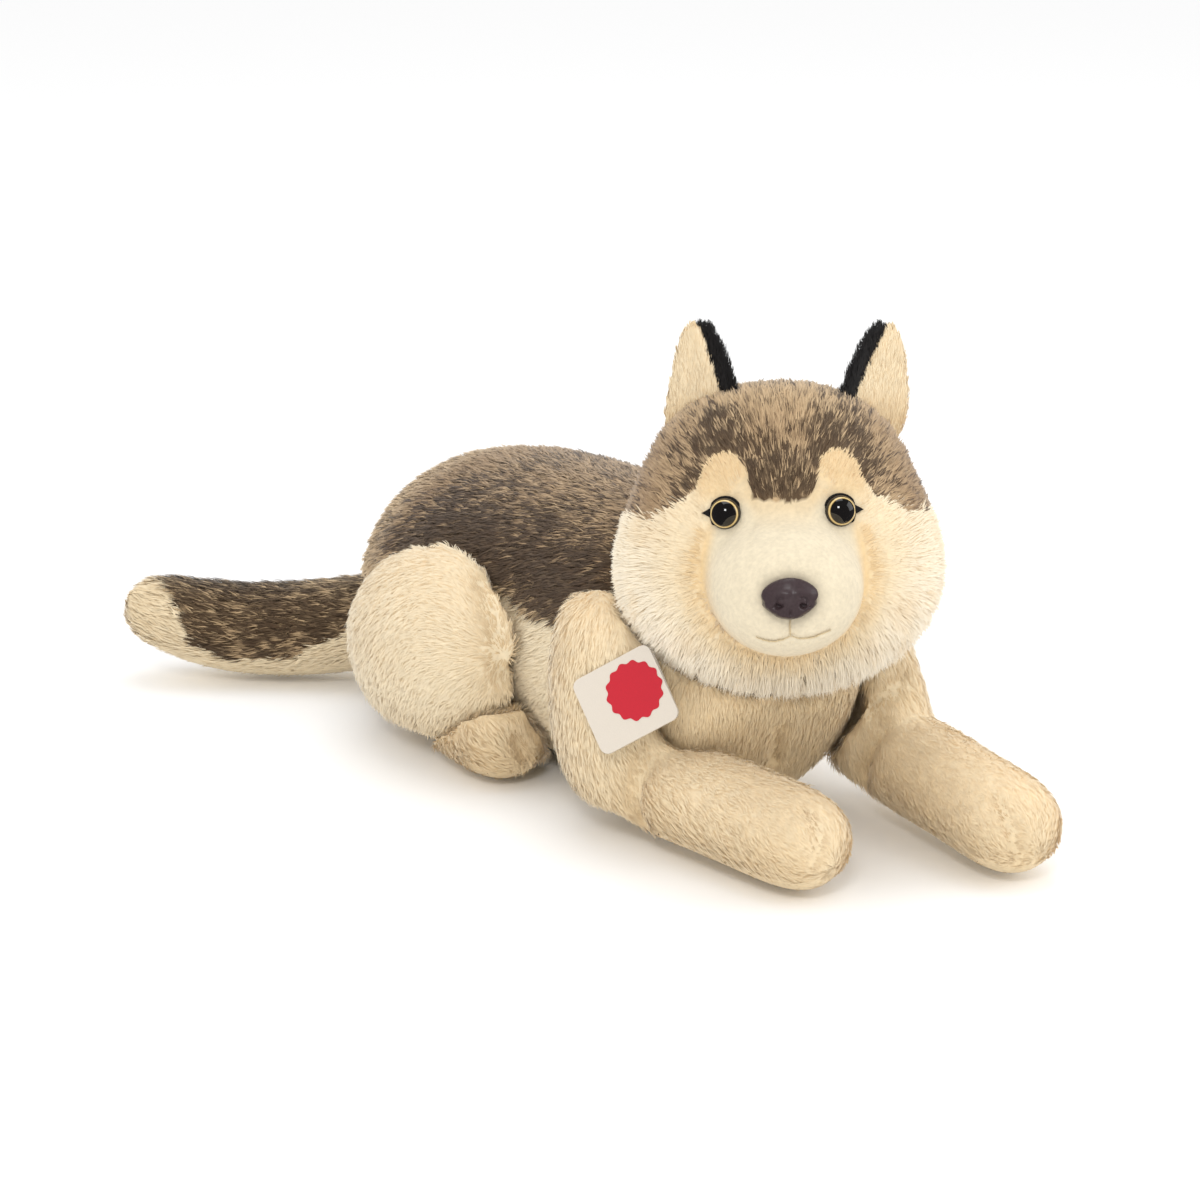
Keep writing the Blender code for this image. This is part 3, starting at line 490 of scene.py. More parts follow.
def pile_material(name, spot, amount=0.16, sheen=0.25):
    """Colour from the strands, varied by noise at the size of a few strands."""
    made, tree, shader = material(name, 0.78, sheen, 0.18)
    colour = tree.nodes.new("ShaderNodeAttribute")
    colour.attribute_name = "pile_colour"
    where = tree.nodes.new("ShaderNodeTexCoord")
    spots = tree.nodes.new("ShaderNodeTexNoise")
    spots.inputs["Scale"].default_value = spot
    spots.inputs["Detail"].default_value = 3
    tree.links.new(where.outputs["Object"], spots.inputs["Vector"])
    spread = tree.nodes.new("ShaderNodeMapRange")
    spread.inputs["From Min"].default_value = 0.25
    spread.inputs["From Max"].default_value = 0.75
    spread.inputs["To Min"].default_value = 1 - amount
    spread.inputs["To Max"].default_value = 1 + amount * 0.6
    tree.links.new(spots.outputs["Fac"], spread.inputs["Value"])
    vary = tree.nodes.new("ShaderNodeMix")
    vary.data_type = "RGBA"
    vary.blend_type = "MULTIPLY"
    vary.inputs["Factor"].default_value = 1.0
    tree.links.new(colour.outputs["Color"], vary.inputs["A"])
    tree.links.new(spread.outputs["Result"], vary.inputs["B"])
    tree.links.new(vary.outputs["Result"], shader.inputs["Base Color"])
    return made


def noisy(tree, shader, colour, scale, amount):
    """A colour that noise makes a little lighter and darker."""
    where = tree.nodes.new("ShaderNodeTexCoord")
    spots = tree.nodes.new("ShaderNodeTexNoise")
    spots.inputs["Scale"].default_value = scale
    spots.inputs["Detail"].default_value = 4
    tree.links.new(where.outputs["Object"], spots.inputs["Vector"])
    ramp = tree.nodes.new("ShaderNodeValToRGB")
    ramp.color_ramp.elements[0].position = 0.3
    ramp.color_ramp.elements[1].position = 0.7
    ramp.color_ramp.elements[0].color = (*np.clip(colour * (1 - amount), 0, 1), 1)
    ramp.color_ramp.elements[1].color = (*np.clip(colour * (1 + amount), 0, 1), 1)
    tree.links.new(spots.outputs["Fac"], ramp.inputs["Fac"])
    tree.links.new(ramp.outputs["Color"], shader.inputs["Base Color"])
    return spots


def hard_material(name, colour, roughness, scale=300, amount=0.08, bump=0.0):
    made, tree, shader = material(name, roughness, 0.0, 0.5)
    spots = noisy(tree, shader, colour, scale, amount)
    if bump:
        height = tree.nodes.new("ShaderNodeBump")
        height.inputs["Strength"].default_value = bump
        height.inputs["Distance"].default_value = 0.0002
        tree.links.new(spots.outputs["Fac"], height.inputs["Height"])
        tree.links.new(height.outputs["Normal"], shader.inputs["Normal"])
    return made


PILE = pile_material("pile", 260, 0.07, 0.30)
GROUND = pile_material("knitted_ground", 500, 0.10, 0.1)
STITCH_LOOK = hard_material("stitch_look", srgb(204, 184, 146), 0.85, 1500, 0.12)


# Looks of the coats

def look_of(points, normals, comb, length, lift=0.22, width=0.00056, colour=None, root=None,
            clump=0.36, tuft=8, wander=0.22, droop=0.08, density=1.0, paint=plain_paint):
    count = len(points)

    def spread(value):
        return np.full(count, float(value)) if np.ndim(value) == 0 else np.asarray(value, dtype=float)

    tip = np.tile(CREAM if colour is None else colour, (count, 1)) if np.ndim(colour) < 2 else colour
    low = np.tile(CREAM_ROOT_SHADE if root is None else root, (count, 1)) if np.ndim(root) < 2 else root
    under = smooth(-0.35, -0.85, normals[:, 2]) * smooth(0.030, 0.012, points[:, 2])
    thick = spread(density) * (1 - 0.85 * under)
    comb = np.tile(np.asarray(comb, dtype=float), (count, 1)) if np.ndim(comb) < 2 else comb
    return {"comb": comb, "length": spread(length) * (1 - 0.6 * under), "lift": spread(lift),
            "width": spread(width), "root": low, "tip": tip, "clump": spread(clump), "tuft": tuft,
            "wander": spread(wander), "droop": spread(droop), "density": thick, "paint": paint}


def marked_paint(amount_dark, base_light):
    """Grey-brown pile: dark strands among sandy ones. amount_dark is the share of dark strands."""
    def paint(root, tip, tone, roots, rng):
        marked = amount_dark > 0
        dark = smooth(0.16, -0.16, tone - amount_dark) * marked
        own = (0.90 + 0.22 * rng.random(len(roots)))[:, None]
        new_tip = mix(base_light * own, DARK, dark * 0.88)
        new_root = mix(mix(TAUPE, SAND, tone), BROWN, dark * 0.7)
        plain_root, plain_tip = plain_paint(root, tip, tone, roots, rng)
        return (np.where(marked[:, None], new_root, plain_root),
                np.where(marked[:, None], new_tip, plain_tip))
    return paint


SEAM_Y = np.array((-0.150, -0.075, -0.045, 0.010, 0.060, 0.118, 0.180, 0.210, 0.260))
SEAM_Z = np.array((0.130, 0.110, 0.090, 0.092, 0.100, 0.100, 0.076, 0.060, 0.050))


def torso_look(points, normals):
    x, y, z = points.T
    edge = z - np.interp(y, SEAM_Y, SEAM_Z) + 0.004 * (noise(points, 0.012, 3) - 0.5)
    brown = (edge > 0) & (y > -0.095)
    chest = smooth(-0.055, -0.085, y)
    comb = np.stack((np.sign(x) * 0.10, 1.0 - 1.2 * chest, -0.55 - 0.9 * chest), axis=1)
    length = np.where(brown, 0.0100, 0.0070) * (1 - 0.15 * chest)
    light = mix(TAUPE, ASH, smooth(0.115, 0.150, z))
    light = mix(light, SAND, np.clip(0.9 * smooth(0.140, 0.190, y) + 0.5 * smooth(0.010, 0.0, edge), 0, 1))
    share = 0.36 + 0.58 * smooth(0.146, 0.108, z) - 0.62 * smooth(0.110, 0.175, y)
    share -= 0.30 * smooth(0.010, 0.0, edge)
    share += 0.30 * (noise(points, 0.02, 5) - 0.5)
    share = np.where(brown, np.clip(share, 0.06, 0.9), 0.0)
    # the chest is painted golden as painted shade under the ruff, and the pile gets golder towards the
    # bottom
    colour = mix(CREAM, GOLD, 0.55 * chest + 0.35 * smooth(0.08, 0.02, z))
    root = mix(CREAM_ROOT_SHADE, GOLD_ROOT_SHADE, 0.6 * chest)
    return look_of(points, normals, comb, length, lift=np.where(brown, 0.26, 0.17),
                   width=np.where(brown, 0.00070, 0.00056),
                   colour=colour, root=root, wander=0.2, density=np.where(brown, 1.25, 1.0),
                   paint=marked_paint(share, light))


TAIL_X = np.array((-0.150, -0.147, -0.141, -0.125, -0.097, -0.062, 0.06))
TAIL_Z = np.array((0.200, 0.044, 0.026, 0.016, 0.020, 0.042, 0.048))


def tail_look(points, normals):
    x, y, z = points.T
    edge = z - np.interp(x, TAIL_X, TAIL_Z, left=1.0)
    edge = np.minimum(edge, (x + 0.147) * 1.0) + 0.003 * (noise(points, 0.01, 8) - 0.5)
    brown = edge > 0
    along = np.stack((-0.85 * np.ones_like(x), np.interp(x, (-0.16, -0.03), (0.35, 0.9)),
                      np.interp(x, (-0.165, -0.11, -0.03), (0.55, 0.0, -0.25))), axis=1)
    tip = smooth(-0.147, -0.160, x)
    share = 0.66 + 0.3 * (noise(points, 0.02, 9) - 0.5) - 0.35 * smooth(0.05, 0.062, z)
    share = np.where(brown, np.clip(share, 0.08, 0.9), 0.0)
    light = mix(TAUPE, SAND, 0.3 + 0.6 * smooth(0.045, 0.060, z))
    colour = mix(CREAM, GOLD, 0.30 + 0.15 * tip)
    return look_of(points, normals, along, np.where(brown, 0.0095, 0.0080), colour=colour,
                   lift=0.26, width=0.00068, droop=0.05, density=np.where(brown, 1.2, 1.0),
                   paint=marked_paint(share, light))


def limb_look(direction, length=0.0075, gold=0.4, **more):
    def look(points, normals):
        z = points[:, 2]
        low = np.clip(gold + 0.35 * smooth(0.05, 0.01, z) + 0.25 * (noise(points, 0.03, 11) - 0.5), 0, 1)
        comb = direction(points) if callable(direction) else direction
        reach = length(points) if callable(length) else length
        return look_of(points, normals, comb, reach, colour=mix(CREAM, GOLD, low),
                       root=mix(CREAM_ROOT_SHADE, GOLD_ROOT_SHADE, low), **more)
    return look


BROW_X = np.array((0.0, 0.0110, 0.0128, 0.0137, 0.0148, 0.0168, 0.0200, 0.0250,
                   0.0290, 0.0325, 0.0350, 0.0370, 0.0410, 0.0465, 0.0560, 0.1080))
BROW_Z = np.array((0.0225, 0.0228, 0.0245, 0.0295, 0.0352, 0.0395, 0.0418, 0.0427,
                   0.0413, 0.0378, 0.0328, 0.0282, 0.0235, 0.0195, 0.0120, 0.0100))
EYE_X, EYE_Z = 0.0261, 0.0174
NOSE_Z = -0.0140


MUZZLE_Z, MUZZLE_HALF_WIDTH, MUZZLE_ABOVE, MUZZLE_BELOW = -0.0115, 0.0362, 0.050, 0.0338


def velvet_of(h):
    """How far a place on the head is on the short velvet of the muzzle, from 0 to 1."""
    side, rise = np.abs(h[:, 0]), h[:, 2] - MUZZLE_Z
    ring = np.hypot(side / MUZZLE_HALF_WIDTH, rise / np.where(rise > 0, MUZZLE_ABOVE, MUZZLE_BELOW))
    return smooth(1.02, 0.97, ring) * smooth(-0.030, -0.045, h[:, 1]), ring


def head_inset(points):
    h = in_head(points)
    velvet, _ = velvet_of(h)
    brown = np.maximum(h[:, 2] - np.interp(np.abs(h[:, 0]), BROW_X, BROW_Z), 0)
    face = smooth(0.058, 0.048, np.hypot(h[:, 0], h[:, 2])) * smooth(-0.01, -0.04, h[:, 1])
    return 0.0028 - 0.0020 * velvet - 0.0012 * face * (1 - velvet) * (brown <= 0)


def head_look(points, normals):
    h = in_head(points)
    x, y, z = h.T
    side = np.abs(x)
    wave = (0.0008 + 0.0018 * smooth(0.034, 0.044, side)) * (noise(points, 0.006, 2) - 0.5)
    edge = z - np.interp(side, BROW_X, BROW_Z) + wave
    nape = np.minimum(np.minimum(y - 0.020, 0.045 - side), z + 0.045) + wave
    depth = np.maximum(edge, nape)
    brown = depth > 0
    # the pile runs away from the nose, up over the crown and out over the cheeks
    away = h - np.array((0.0, -0.090, -0.014))
    away[:, 2] += -0.03 * smooth(0.0, -0.05, z)
    away[:, 1] += 0.05 * smooth(0.02, 0.06, z)
    comb = out_of_head(unit(away))
    front = smooth(0.01, -0.03, y)
    velvet, ring = velvet_of(h)
    velvet = velvet * (~brown)
    face = front * smooth(0.060, 0.046, np.hypot(side, (z + 0.002) * 1.1)) * (1 - velvet)
    ruff = (1 - np.maximum(face, velvet)) * (~brown)
    length = 0.0050 * face + 0.0018 * velvet + 0.0115 * ruff
    length = np.where(brown, 0.0066 + 0.0040 * smooth(0.0, 0.03, depth), length)
    length *= 1 - 0.45 * front * (~brown) * smooth(-0.006, -0.001, edge) * smooth(0.050, 0.040, side)
    length += 0.0060 * ruff * smooth(-0.02, -0.06, z)
    cheek = front * smooth(1.30, 1.02, ring) * smooth(0.010, -0.010, z) * (1 - velvet) * (~brown)
    length += 0.0030 * cheek
    eye = np.hypot(side - EYE_X, (z - EYE_Z))
    near_eye = front * smooth(0.0135, 0.0088, eye)
    length = length * (1 - near_eye) + 0.0024 * near_eye
    nose = np.hypot(side / 0.0132, (z - NOSE_Z) / 0.0100)
    near_nose = velvet * smooth(1.35, 1.0, nose)
    length = length * (1 - 0.25 * near_nose)
    brow = front * (edge < 0) * smooth(0.018, 0.026, z + wave) * smooth(0.010, 0.014, side)
    brow *= smooth(0.040, 0.034, side)
    # painted shade under the peak of the brown cap
    under_peak_shade = front * smooth(0.010, 0.022, z) * smooth(0.018, 0.010, side) * (~brown)
    # painted shade along the edge of the muzzle, where the short velvet meets the longer cheek pile
    muzzle_edge_shade = front * np.exp(-((ring - 1.0) / 0.07) ** 2) * smooth(0.022, 0.004, z) * (~brown)
    pale = ruff * np.clip(0.45 + 0.55 * smooth(0.02, -0.05, z), 0, 1)
    colour = mix(np.tile(CREAM, (len(points), 1)), CREAM_LIGHT, pale)
    colour = mix(colour, VELVET, velvet)
    colour = mix(colour, GOLD, np.clip(0.45 * cheek + 0.25 * face, 0, 1))
    colour = mix(colour, MUZZLE_EDGE_SHADE, 0.75 * muzzle_edge_shade)
    colour = mix(colour, BROW_GOLD_AND_SHADE, np.clip(brow * 0.9 + under_peak_shade * 0.75, 0, 1))
    root = mix(np.tile(CREAM_ROOT_SHADE, (len(points), 1)), GOLD_ROOT_SHADE, np.clip(0.4 * brow + 0.6 * cheek, 0, 1))
    # the velvet's roots are painted a little darker: painted shade deep in the pile
    root = mix(root, VELVET * 0.97, velvet)
    root = mix(root, MUZZLE_EDGE_SHADE, 0.6 * muzzle_edge_shade)
    lines = smooth(0.50, 0.78, noise(points * np.array((1, 1, 0.5)), 0.007, 21)) * ruff
    root = mix(root, GOLD_ROOT_SHADE, lines * 0.5)
    colour = mix(colour, GOLD, lines * 0.30)
    light = mix(np.tile(ASH, (len(points), 1)), TAUPE, 0.5 * smooth(0.045, 0.060, side))
    light = mix(light, SAND, 0.45 * smooth(0.045, 0.062, z))
    share = 0.40 + 0.36 * smooth(0.030, 0.002, edge) * front * smooth(0.060, 0.030, side)
    share -= 0.16 * smooth(0.034, 0.050, side)
    share -= 0.12 * smooth(0.045, 0.065, z)
    share += 0.26 * (noise(points, 0.006, 6) - 0.5)
    share = np.where(brown, np.clip(share, 0.10, 0.9), 0.0)
    density = 0.95 + 1.1 * velvet + 0.5 * face + 0.3 * brown
    corner = front * np.exp(-((side - EYE_X - 0.0098) / 0.0022) ** 2 - ((z - EYE_Z) / 0.0030) ** 2)
    length += 0.0030 * corner
    density = np.where((eye < 0.0068) & (front > 0.5), 0.0, density + 1.5 * corner)
    density = np.where((nose < 0.90) & (velvet > 0.5), 0.0, density)
    return look_of(points, normals, comb, length, lift=0.15 + 0.11 * brown + 0.35 * corner,
                   width=0.00056 + 0.00010 * brown - 0.00008 * velvet, colour=colour, root=root,
                   clump=0.26 - 0.18 * velvet + 0.14 * brown, tuft=8, wander=0.17 - 0.05 * velvet,
                   droop=0.06 + 0.34 * ruff * smooth(0.0, -0.05, z), density=density,
                   paint=marked_paint(share, light))


def ear_look(black):
    def look(points, normals):
        h = in_head(points)
        comb = out_of_head(np.tile((0.0, 0.0, 1.0), (len(points), 1)))
        # the lining is painted golden and tan towards its base: painted shade in the cup of the ear; the
        # roots of both sides are painted darker, as painted shade deep in the pile
        low = smooth(0.066, 0.045, h[:, 2])
        colour = np.tile(BLACK, (len(points), 1)) if black else mix(CREAM, GOLD, 0.35 + 0.45 * low)
        root = np.tile(BLACK * 0.6, (len(points), 1)) if black else mix(CREAM_ROOT_SHADE, TAN_LINE_AND_SHADE, 0.6 * low)
        return look_of(points, normals, comb, 0.0044, lift=0.40 if black else 0.24, width=0.0005,
                       colour=colour, root=root, clump=0.15, tuft=9, wander=0.2, droop=0.0, density=1.8)
    return look


# The bags

add_camera()
torso = make_skin("torso_bag", ["torso", "back_panel"], 0.0020, 0.0065)
head = make_skin("head_bag", ["head", "crown_panel", "face_panel", "muzzle"], head_inset, 0.0040, 4)
tail = make_skin("tail_bag", ["tail", "tail_panel"], 0.0022, 0.0048)
SKINS = {"torso": (torso, ["torso", "back_panel"], 0.9),
         "head": (head, ["head", "crown_panel", "face_panel", "muzzle"], 0.9),
         "tail": (tail, ["tail", "tail_panel"], 0.8)}
for side in ("right", "left"):
    for part, nodes, inset, voxel in (("arm", ("upper_arm", "foreleg"), 0.0016, 0.0050),
                                      ("thigh", ("thigh",), 0.0016, 0.0055),
                                      ("hind_paw", ("hind_paw",), 0.0014, 0.0045)):
        names = [f"{node}_{side}" for node in nodes]
        bag = make_skin(f"{part}_bag_{side}", names, inset, voxel, 8 if part == "arm" else 5)
        SKINS[f"{part}_{side}"] = (bag, names, 0.8)

# Seams and creases, drawn where the photograph's view shows them

LINES = {name: [] for name in SKINS}


def add_lines(name, drawn, width, depth, line_tint_and_shade=None):
    tree = tree_of(SKINS[name][0])
    for pixels in drawn:
        line = from_frame(tree, pixels)
        if len(line) > 1:
            LINES[name].append((line, width, depth, line_tint_and_shade))


MOUTH = (((790.3, 620), (790.3, 628), (790.5, 636)),
         ((790, 636), (784, 638.8), (775.5, 641), (767.7, 640.5), (756, 637)),
         ((791.5, 636), (800, 638), (813, 637), (821.7, 633.5), (830.8, 630)))
CHEST_SEAM = ((780.4, 688), (780.4, 727), (776, 760))
TOES_RIGHT = ((806, 809), (815, 827), (816.4, 848), (810, 859))
TOES_LEFT = ((994, 798), (1006, 823), (1010.7, 848), (1012.9, 863))
TOES_HIND = ((513, 732), (519, 741), (523, 752))

# the lines below are tinted with their seams' and stitches' own colour and with painted shade in their
# grooves
add_lines("head", MOUTH, 0.0012, 0.0010, TAN_LINE_AND_SHADE)
add_lines("head", [((754, 509), (752, 527), (751, 544)), ((822, 517), (820, 540), (817, 560))],
          0.0012, 0.0006, BROW_GOLD_AND_SHADE)
add_lines("torso", [CHEST_SEAM], 0.0028, 0.0026, TAN_LINE_AND_SHADE)
add_lines("arm_right", [TOES_RIGHT], 0.0028, 0.0026, TAN_LINE_AND_SHADE)
add_lines("arm_left", [TOES_LEFT], 0.0028, 0.0026, TAN_LINE_AND_SHADE)
# the tints of these creases are painted shade
add_lines("arm_right", [((642, 756), (633, 781), (629.6, 805), (636.8, 820))], 0.0060, 0.0050, GOLD_ROOT_SHADE)
add_lines("arm_left", [((881, 724), (867, 745), (860, 773), (870, 798))], 0.0050, 0.0044, GOLD_ROOT_SHADE)
add_lines("arm_left", [((903, 677), (871, 702), (846, 731))], 0.0060, 0.0040, GOLD_ROOT_SHADE)
add_lines("thigh_right", [((462, 545), (487, 585), (498, 632), (502, 680))], 0.0070, 0.0040, GOLD_ROOT_SHADE)
add_lines("hind_paw_right", [TOES_HIND], 0.0026, 0.0024, TAN_LINE_AND_SHADE)
add_lines("tail", [((145, 567), (158, 572), (174, 581))], 0.0030, 0.0025, GOLD)
for name, (obj, _, _) in SKINS.items():
    press(obj, LINES[name])


# Stitches of the mouth: fine tubes along the skin

def smooth_line(points, steps=6):
    chain = [points[0], *points, points[-1]]
    made = []
    for a, b, c, d in zip(chain, chain[1:], chain[2:], chain[3:]):
        for t in np.arange(steps) / steps:
            made.append(0.5 * (2 * b + (c - a) * t + (2 * a - 5 * b + 4 * c - d) * t ** 2
                               + (3 * b - a - 3 * c + d) * t ** 3))
    return made + [points[-1]]


def make_thread(name, skin_name, pixels, radius, lift, look):
    """A tube along a skin, thin at both ends. lift is how far its middle is above the skin."""
    tree = tree_of(SKINS[skin_name][0])
    route = []
    for place in smooth_line(list(from_frame(tree, pixels))):
        spot, normal, _, _ = tree.find_nearest(Vector(place))
        route.append((np.array(spot) + np.array(normal) * lift, np.array(normal)))
    bm = bmesh.new()
    rings, sides = [], 6
    for index, (middle, normal) in enumerate(route):
        ahead = unit(route[min(index + 1, len(route) - 1)][0] - route[max(index - 1, 0)][0])
        across = unit(np.cross(normal, ahead))
        share = index / (len(route) - 1)
        size = radius * (0.35 + 0.65 * math.sin(math.pi * min(max(share, 0.04), 0.96)) ** 0.5)
        ring = []
        for step in range(sides):
            turn = 2 * math.pi * step / sides
            out = math.cos(turn) * across + math.sin(turn) * normal
            ring.append(bm.verts.new(Vector(middle + size * out)))
        rings.append(ring)
    for low, high in zip(rings, rings[1:]):
        for step in range(sides):
            after = (step + 1) % sides
            bm.faces.new((low[step], low[after], high[after], high[step]))
    bm.faces.new(rings[0])
    bm.faces.new(rings[-1])
    bmesh.ops.recalc_face_normals(bm, faces=bm.faces)
    mesh = bpy.data.meshes.new(name)
    bm.to_mesh(mesh)
    bm.free()
    smooth_faces(mesh)
    obj = new_object(name, mesh)
    mesh.materials.append(look)
    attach(obj, "root")
    THREADS.setdefault(skin_name, []).append(np.array([middle for middle, _ in route]))


STITCH_RADIUS, STITCH_LIFT = 0.00032, 0.0004
THREADS = {}
for number, drawn in enumerate(MOUTH):
    make_thread(f"mouth_stitch_{number + 1}", "head", drawn, STITCH_RADIUS, STITCH_LIFT, STITCH_LOOK)


# Ears: their solids' shape, rounder at the edges

def make_ear(node):
    obj = rounded_copy(node + "_cloth", [node], 0.0016, 6)
    smooth_faces(obj.data)
    points = in_head(vertices_of(obj.data))
    top = points[:, 2].max()
    points[:, 2] = top - (top - points[:, 2]) * 1.16
    points[:, :2] *= (1 - 0.10 * smooth(0.058, 0.035, points[:, 2]))[:, None]
    points = out_of_head(points) + HEAD_MIDDLE
    move_points(obj, points)
    return obj


EARS = {}
for side in ("right", "left"):
    for part in ("ear_lining", "ear_back"):
        EARS[f"{part}_{side}"] = make_ear(f"{part}_{side}")


# Growing the coats

def arm_flow(elbow, paw):
    elbow, paw = np.array(elbow), np.array(paw)
    along = unit(paw - elbow)

    def direction(points):
        near_paw = smooth(0.0, 0.045, (points - elbow) @ along) * smooth(0.075, 0.050, points[:, 2])
        down = np.array((0.05 * np.sign(elbow[0]), -0.20, -1.0))
        forward = along + np.array((0.0, 0.0, -0.25))
        return unit(mix(np.tile(down, (len(points), 1)), forward, near_paw))
    return direction


def arm_length(points):
    return 0.0068 - 0.0018 * smooth(-0.12, -0.17, points[:, 1])


def thigh_length(points):
    return 0.0074 + 0.0040 * smooth(0.040, 0.022, points[:, 2])


def thigh_flow(side):
    found = from_frame(tree_of(SKINS["thigh_right"][0]), [(505, 655)])
    pinch = found[0] if len(found) else np.array((-0.10, 0.05, 0.04))
    pinch = pinch * np.array((-side, 1, 1))

    def direction(points):
        away = points - pinch
        near = smooth(0.070, 0.02, np.linalg.norm(away, axis=1))[:, None]
        return unit(unit(away) * near + np.array((0.05 * side, 0.55, -0.75)) * (1 - near))
    return direction


ARMS = {"right": ((-0.0585, -0.048, 0.028), (-0.029, -0.166, 0.0255)),
        "left": ((0.066, -0.080, 0.028), (0.064, -0.196, 0.0255))}
coats = [Coat("torso", torso, torso_look, LINES["torso"]),
         Coat("head", head, head_look, LINES["head"], share=1.35),
         Coat("tail", tail, tail_look, LINES["tail"])]
for side, sign in (("right", -1), ("left", 1)):
    coats.append(Coat(f"arm_{side}", SKINS[f"arm_{side}"][0],
                      limb_look(arm_flow(*ARMS[side]), arm_length, 0.25), LINES[f"arm_{side}"]))
    coats.append(Coat(f"thigh_{side}", SKINS[f"thigh_{side}"][0],
                      limb_look(thigh_flow(sign), thigh_length, 0.05), LINES[f"thigh_{side}"]))
    coats.append(Coat(f"hind_paw_{side}", SKINS[f"hind_paw_{side}"][0],
                      limb_look((0.0, -1.0, -0.3), 0.0070, 0.28, lift=0.32), LINES[f"hind_paw_{side}"]))
for name, obj in EARS.items():
    slot = "black_plush" if "back" in name else "short_cream_plush"
    coats.append(Coat(name, obj, ear_look("back" in name), slot=slot, share=1.3))

BY_NAME = {coat.name: coat for coat in coats}


def keep_clear(name, *others):
    for other in others:
        coat = BY_NAME[other]
        low, high = coat.points.min(axis=0), coat.points.max(axis=0)
        BY_NAME[name].clear_of.append((coat.tree, low, high))


limb_names = [f"{part}_{side}" for side in ("right", "left") for part in ("arm", "thigh", "hind_paw")]
keep_clear("torso", "head", "tail", *limb_names)
keep_clear("head", "torso", "arm_right", "arm_left", *EARS)
keep_clear("tail", "torso")
for side in ("right", "left"):
    keep_clear(f"arm_{side}", "torso", "head")
    keep_clear(f"thigh_{side}", "torso", f"hind_paw_{side}")
    keep_clear(f"hind_paw_{side}", "torso", f"thigh_{side}")
    keep_clear(f"ear_lining_{side}", "head", f"ear_back_{side}")
    keep_clear(f"ear_back_{side}", "head", f"ear_lining_{side}")

for name, lines in THREADS.items():
    BY_NAME[name].bare += [(line, 0.0006) for line in lines]

DENSE_COATS = ("torso", "tail")
total_weight = sum(coat.weight.sum() * coat.share for coat in coats)
for coat in coats:
    count = int(STRANDS * coat.weight.sum() * coat.share / total_weight)
    points, shade, colours = coat.grow(count)
    pieces = max(1, math.ceil(len(points) / STRANDS_A_PIECE))
    for piece in range(pieces):
        part = slice(piece, None, pieces)
        name = f"{coat.name}_pile" + (f"_{piece + 1}" if pieces > 1 else "")
        fur = new_object(name, strand_mesh(name, points[part], shade[part], colours[part]))
        fur.data.materials.append(PILE)
        # light goes through pale pile, so its strands throw no hard shadows on each other
        fur.visible_shadow = coat.name in DENSE_COATS
        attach(fur, "root")
    print("coat", coat.name, len(points), "strands")

# The cloth under the pile takes its root colours, with their painted shade

for coat in coats:
    mesh = coat.skin.data
    points, normals = vertices_of(mesh), normals_of(mesh)
    look = coat.look(points, normals)
    tone = noise(points, 0.004, 4)
    rng = np.random.default_rng(5)
    root, tip = look["paint"](look["root"], look["tip"], tone, points, rng)
    rgba = np.ones((len(points), 4))
    rgba[:, :3] = np.clip(mix(root, tip, np.full(len(points), 0.6)), 0, 1)
    layer = mesh.color_attributes.new("pile_colour", "FLOAT_COLOR", "POINT")
    layer.data.foreach_set("color", rgba.reshape(-1))
    mesh.materials.clear()
    mesh.materials.append(GROUND)

for name, (obj, nodes, fill) in SKINS.items():
    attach(obj, "root")
    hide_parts(*nodes)
for name, obj in EARS.items():
    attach(obj, "root")
    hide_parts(name)


# Finishes of the hard parts

def finish_node(name, look):
    mesh = NODES[name].data
    mesh.materials.clear()
    mesh.materials.append(look)


CORNER_FROM, CORNER_TO = 0.0056, 0.0071   # where a backing's pointed corner begins
NOSE_LOOK = hard_material("nose_plastic_look", srgb(66, 52, 54), 0.36, 900, 0.12, 0.25)
WASHER_LOOK = hard_material("washer_look", srgb(225, 225, 220), 0.45)
BACKING_LOOK = hard_material("backing_look", srgb(24, 20, 19), 0.8, 1500, 0.3, 0.4)
CARD_LOOK = hard_material("card_look", srgb(214, 204, 190), 0.5, 2500, 0.03, 0.1)
PRINT_LOOK = hard_material("print_look", srgb(196, 10, 38), 0.5, 2500, 0.05)
for name in ("eye_washer_right", "eye_washer_left", "nose_washer"):
    finish_node(name, WASHER_LOOK)
for side, sign in (("right", -1), ("left", 1)):
    backing = joined_nodes(f"eye_rim_{side}", [f"eye_backing_{side}"])
    points = in_head(vertices_of(backing.data))
    slim = 1 - 0.80 * smooth(CORNER_FROM, CORNER_TO, points[:, 0] * sign - EYE_X)
    points[:, 2] = EYE_Z + (points[:, 2] - EYE_Z) * slim
    move_points(backing, out_of_head(points) + HEAD_MIDDLE)
    backing.data.materials.append(BACKING_LOOK)
    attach(backing, "root")
    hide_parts(f"eye_backing_{side}")
finish_node("swing_tag", CARD_LOOK)

# Eyes: a black pupil and a thin gold ring under a clear dome

EYE_RADIUS, EYE_RISE = 0.00715, 0.0055
PUPIL_SHARE, RING_SHARE = 0.770, 0.880


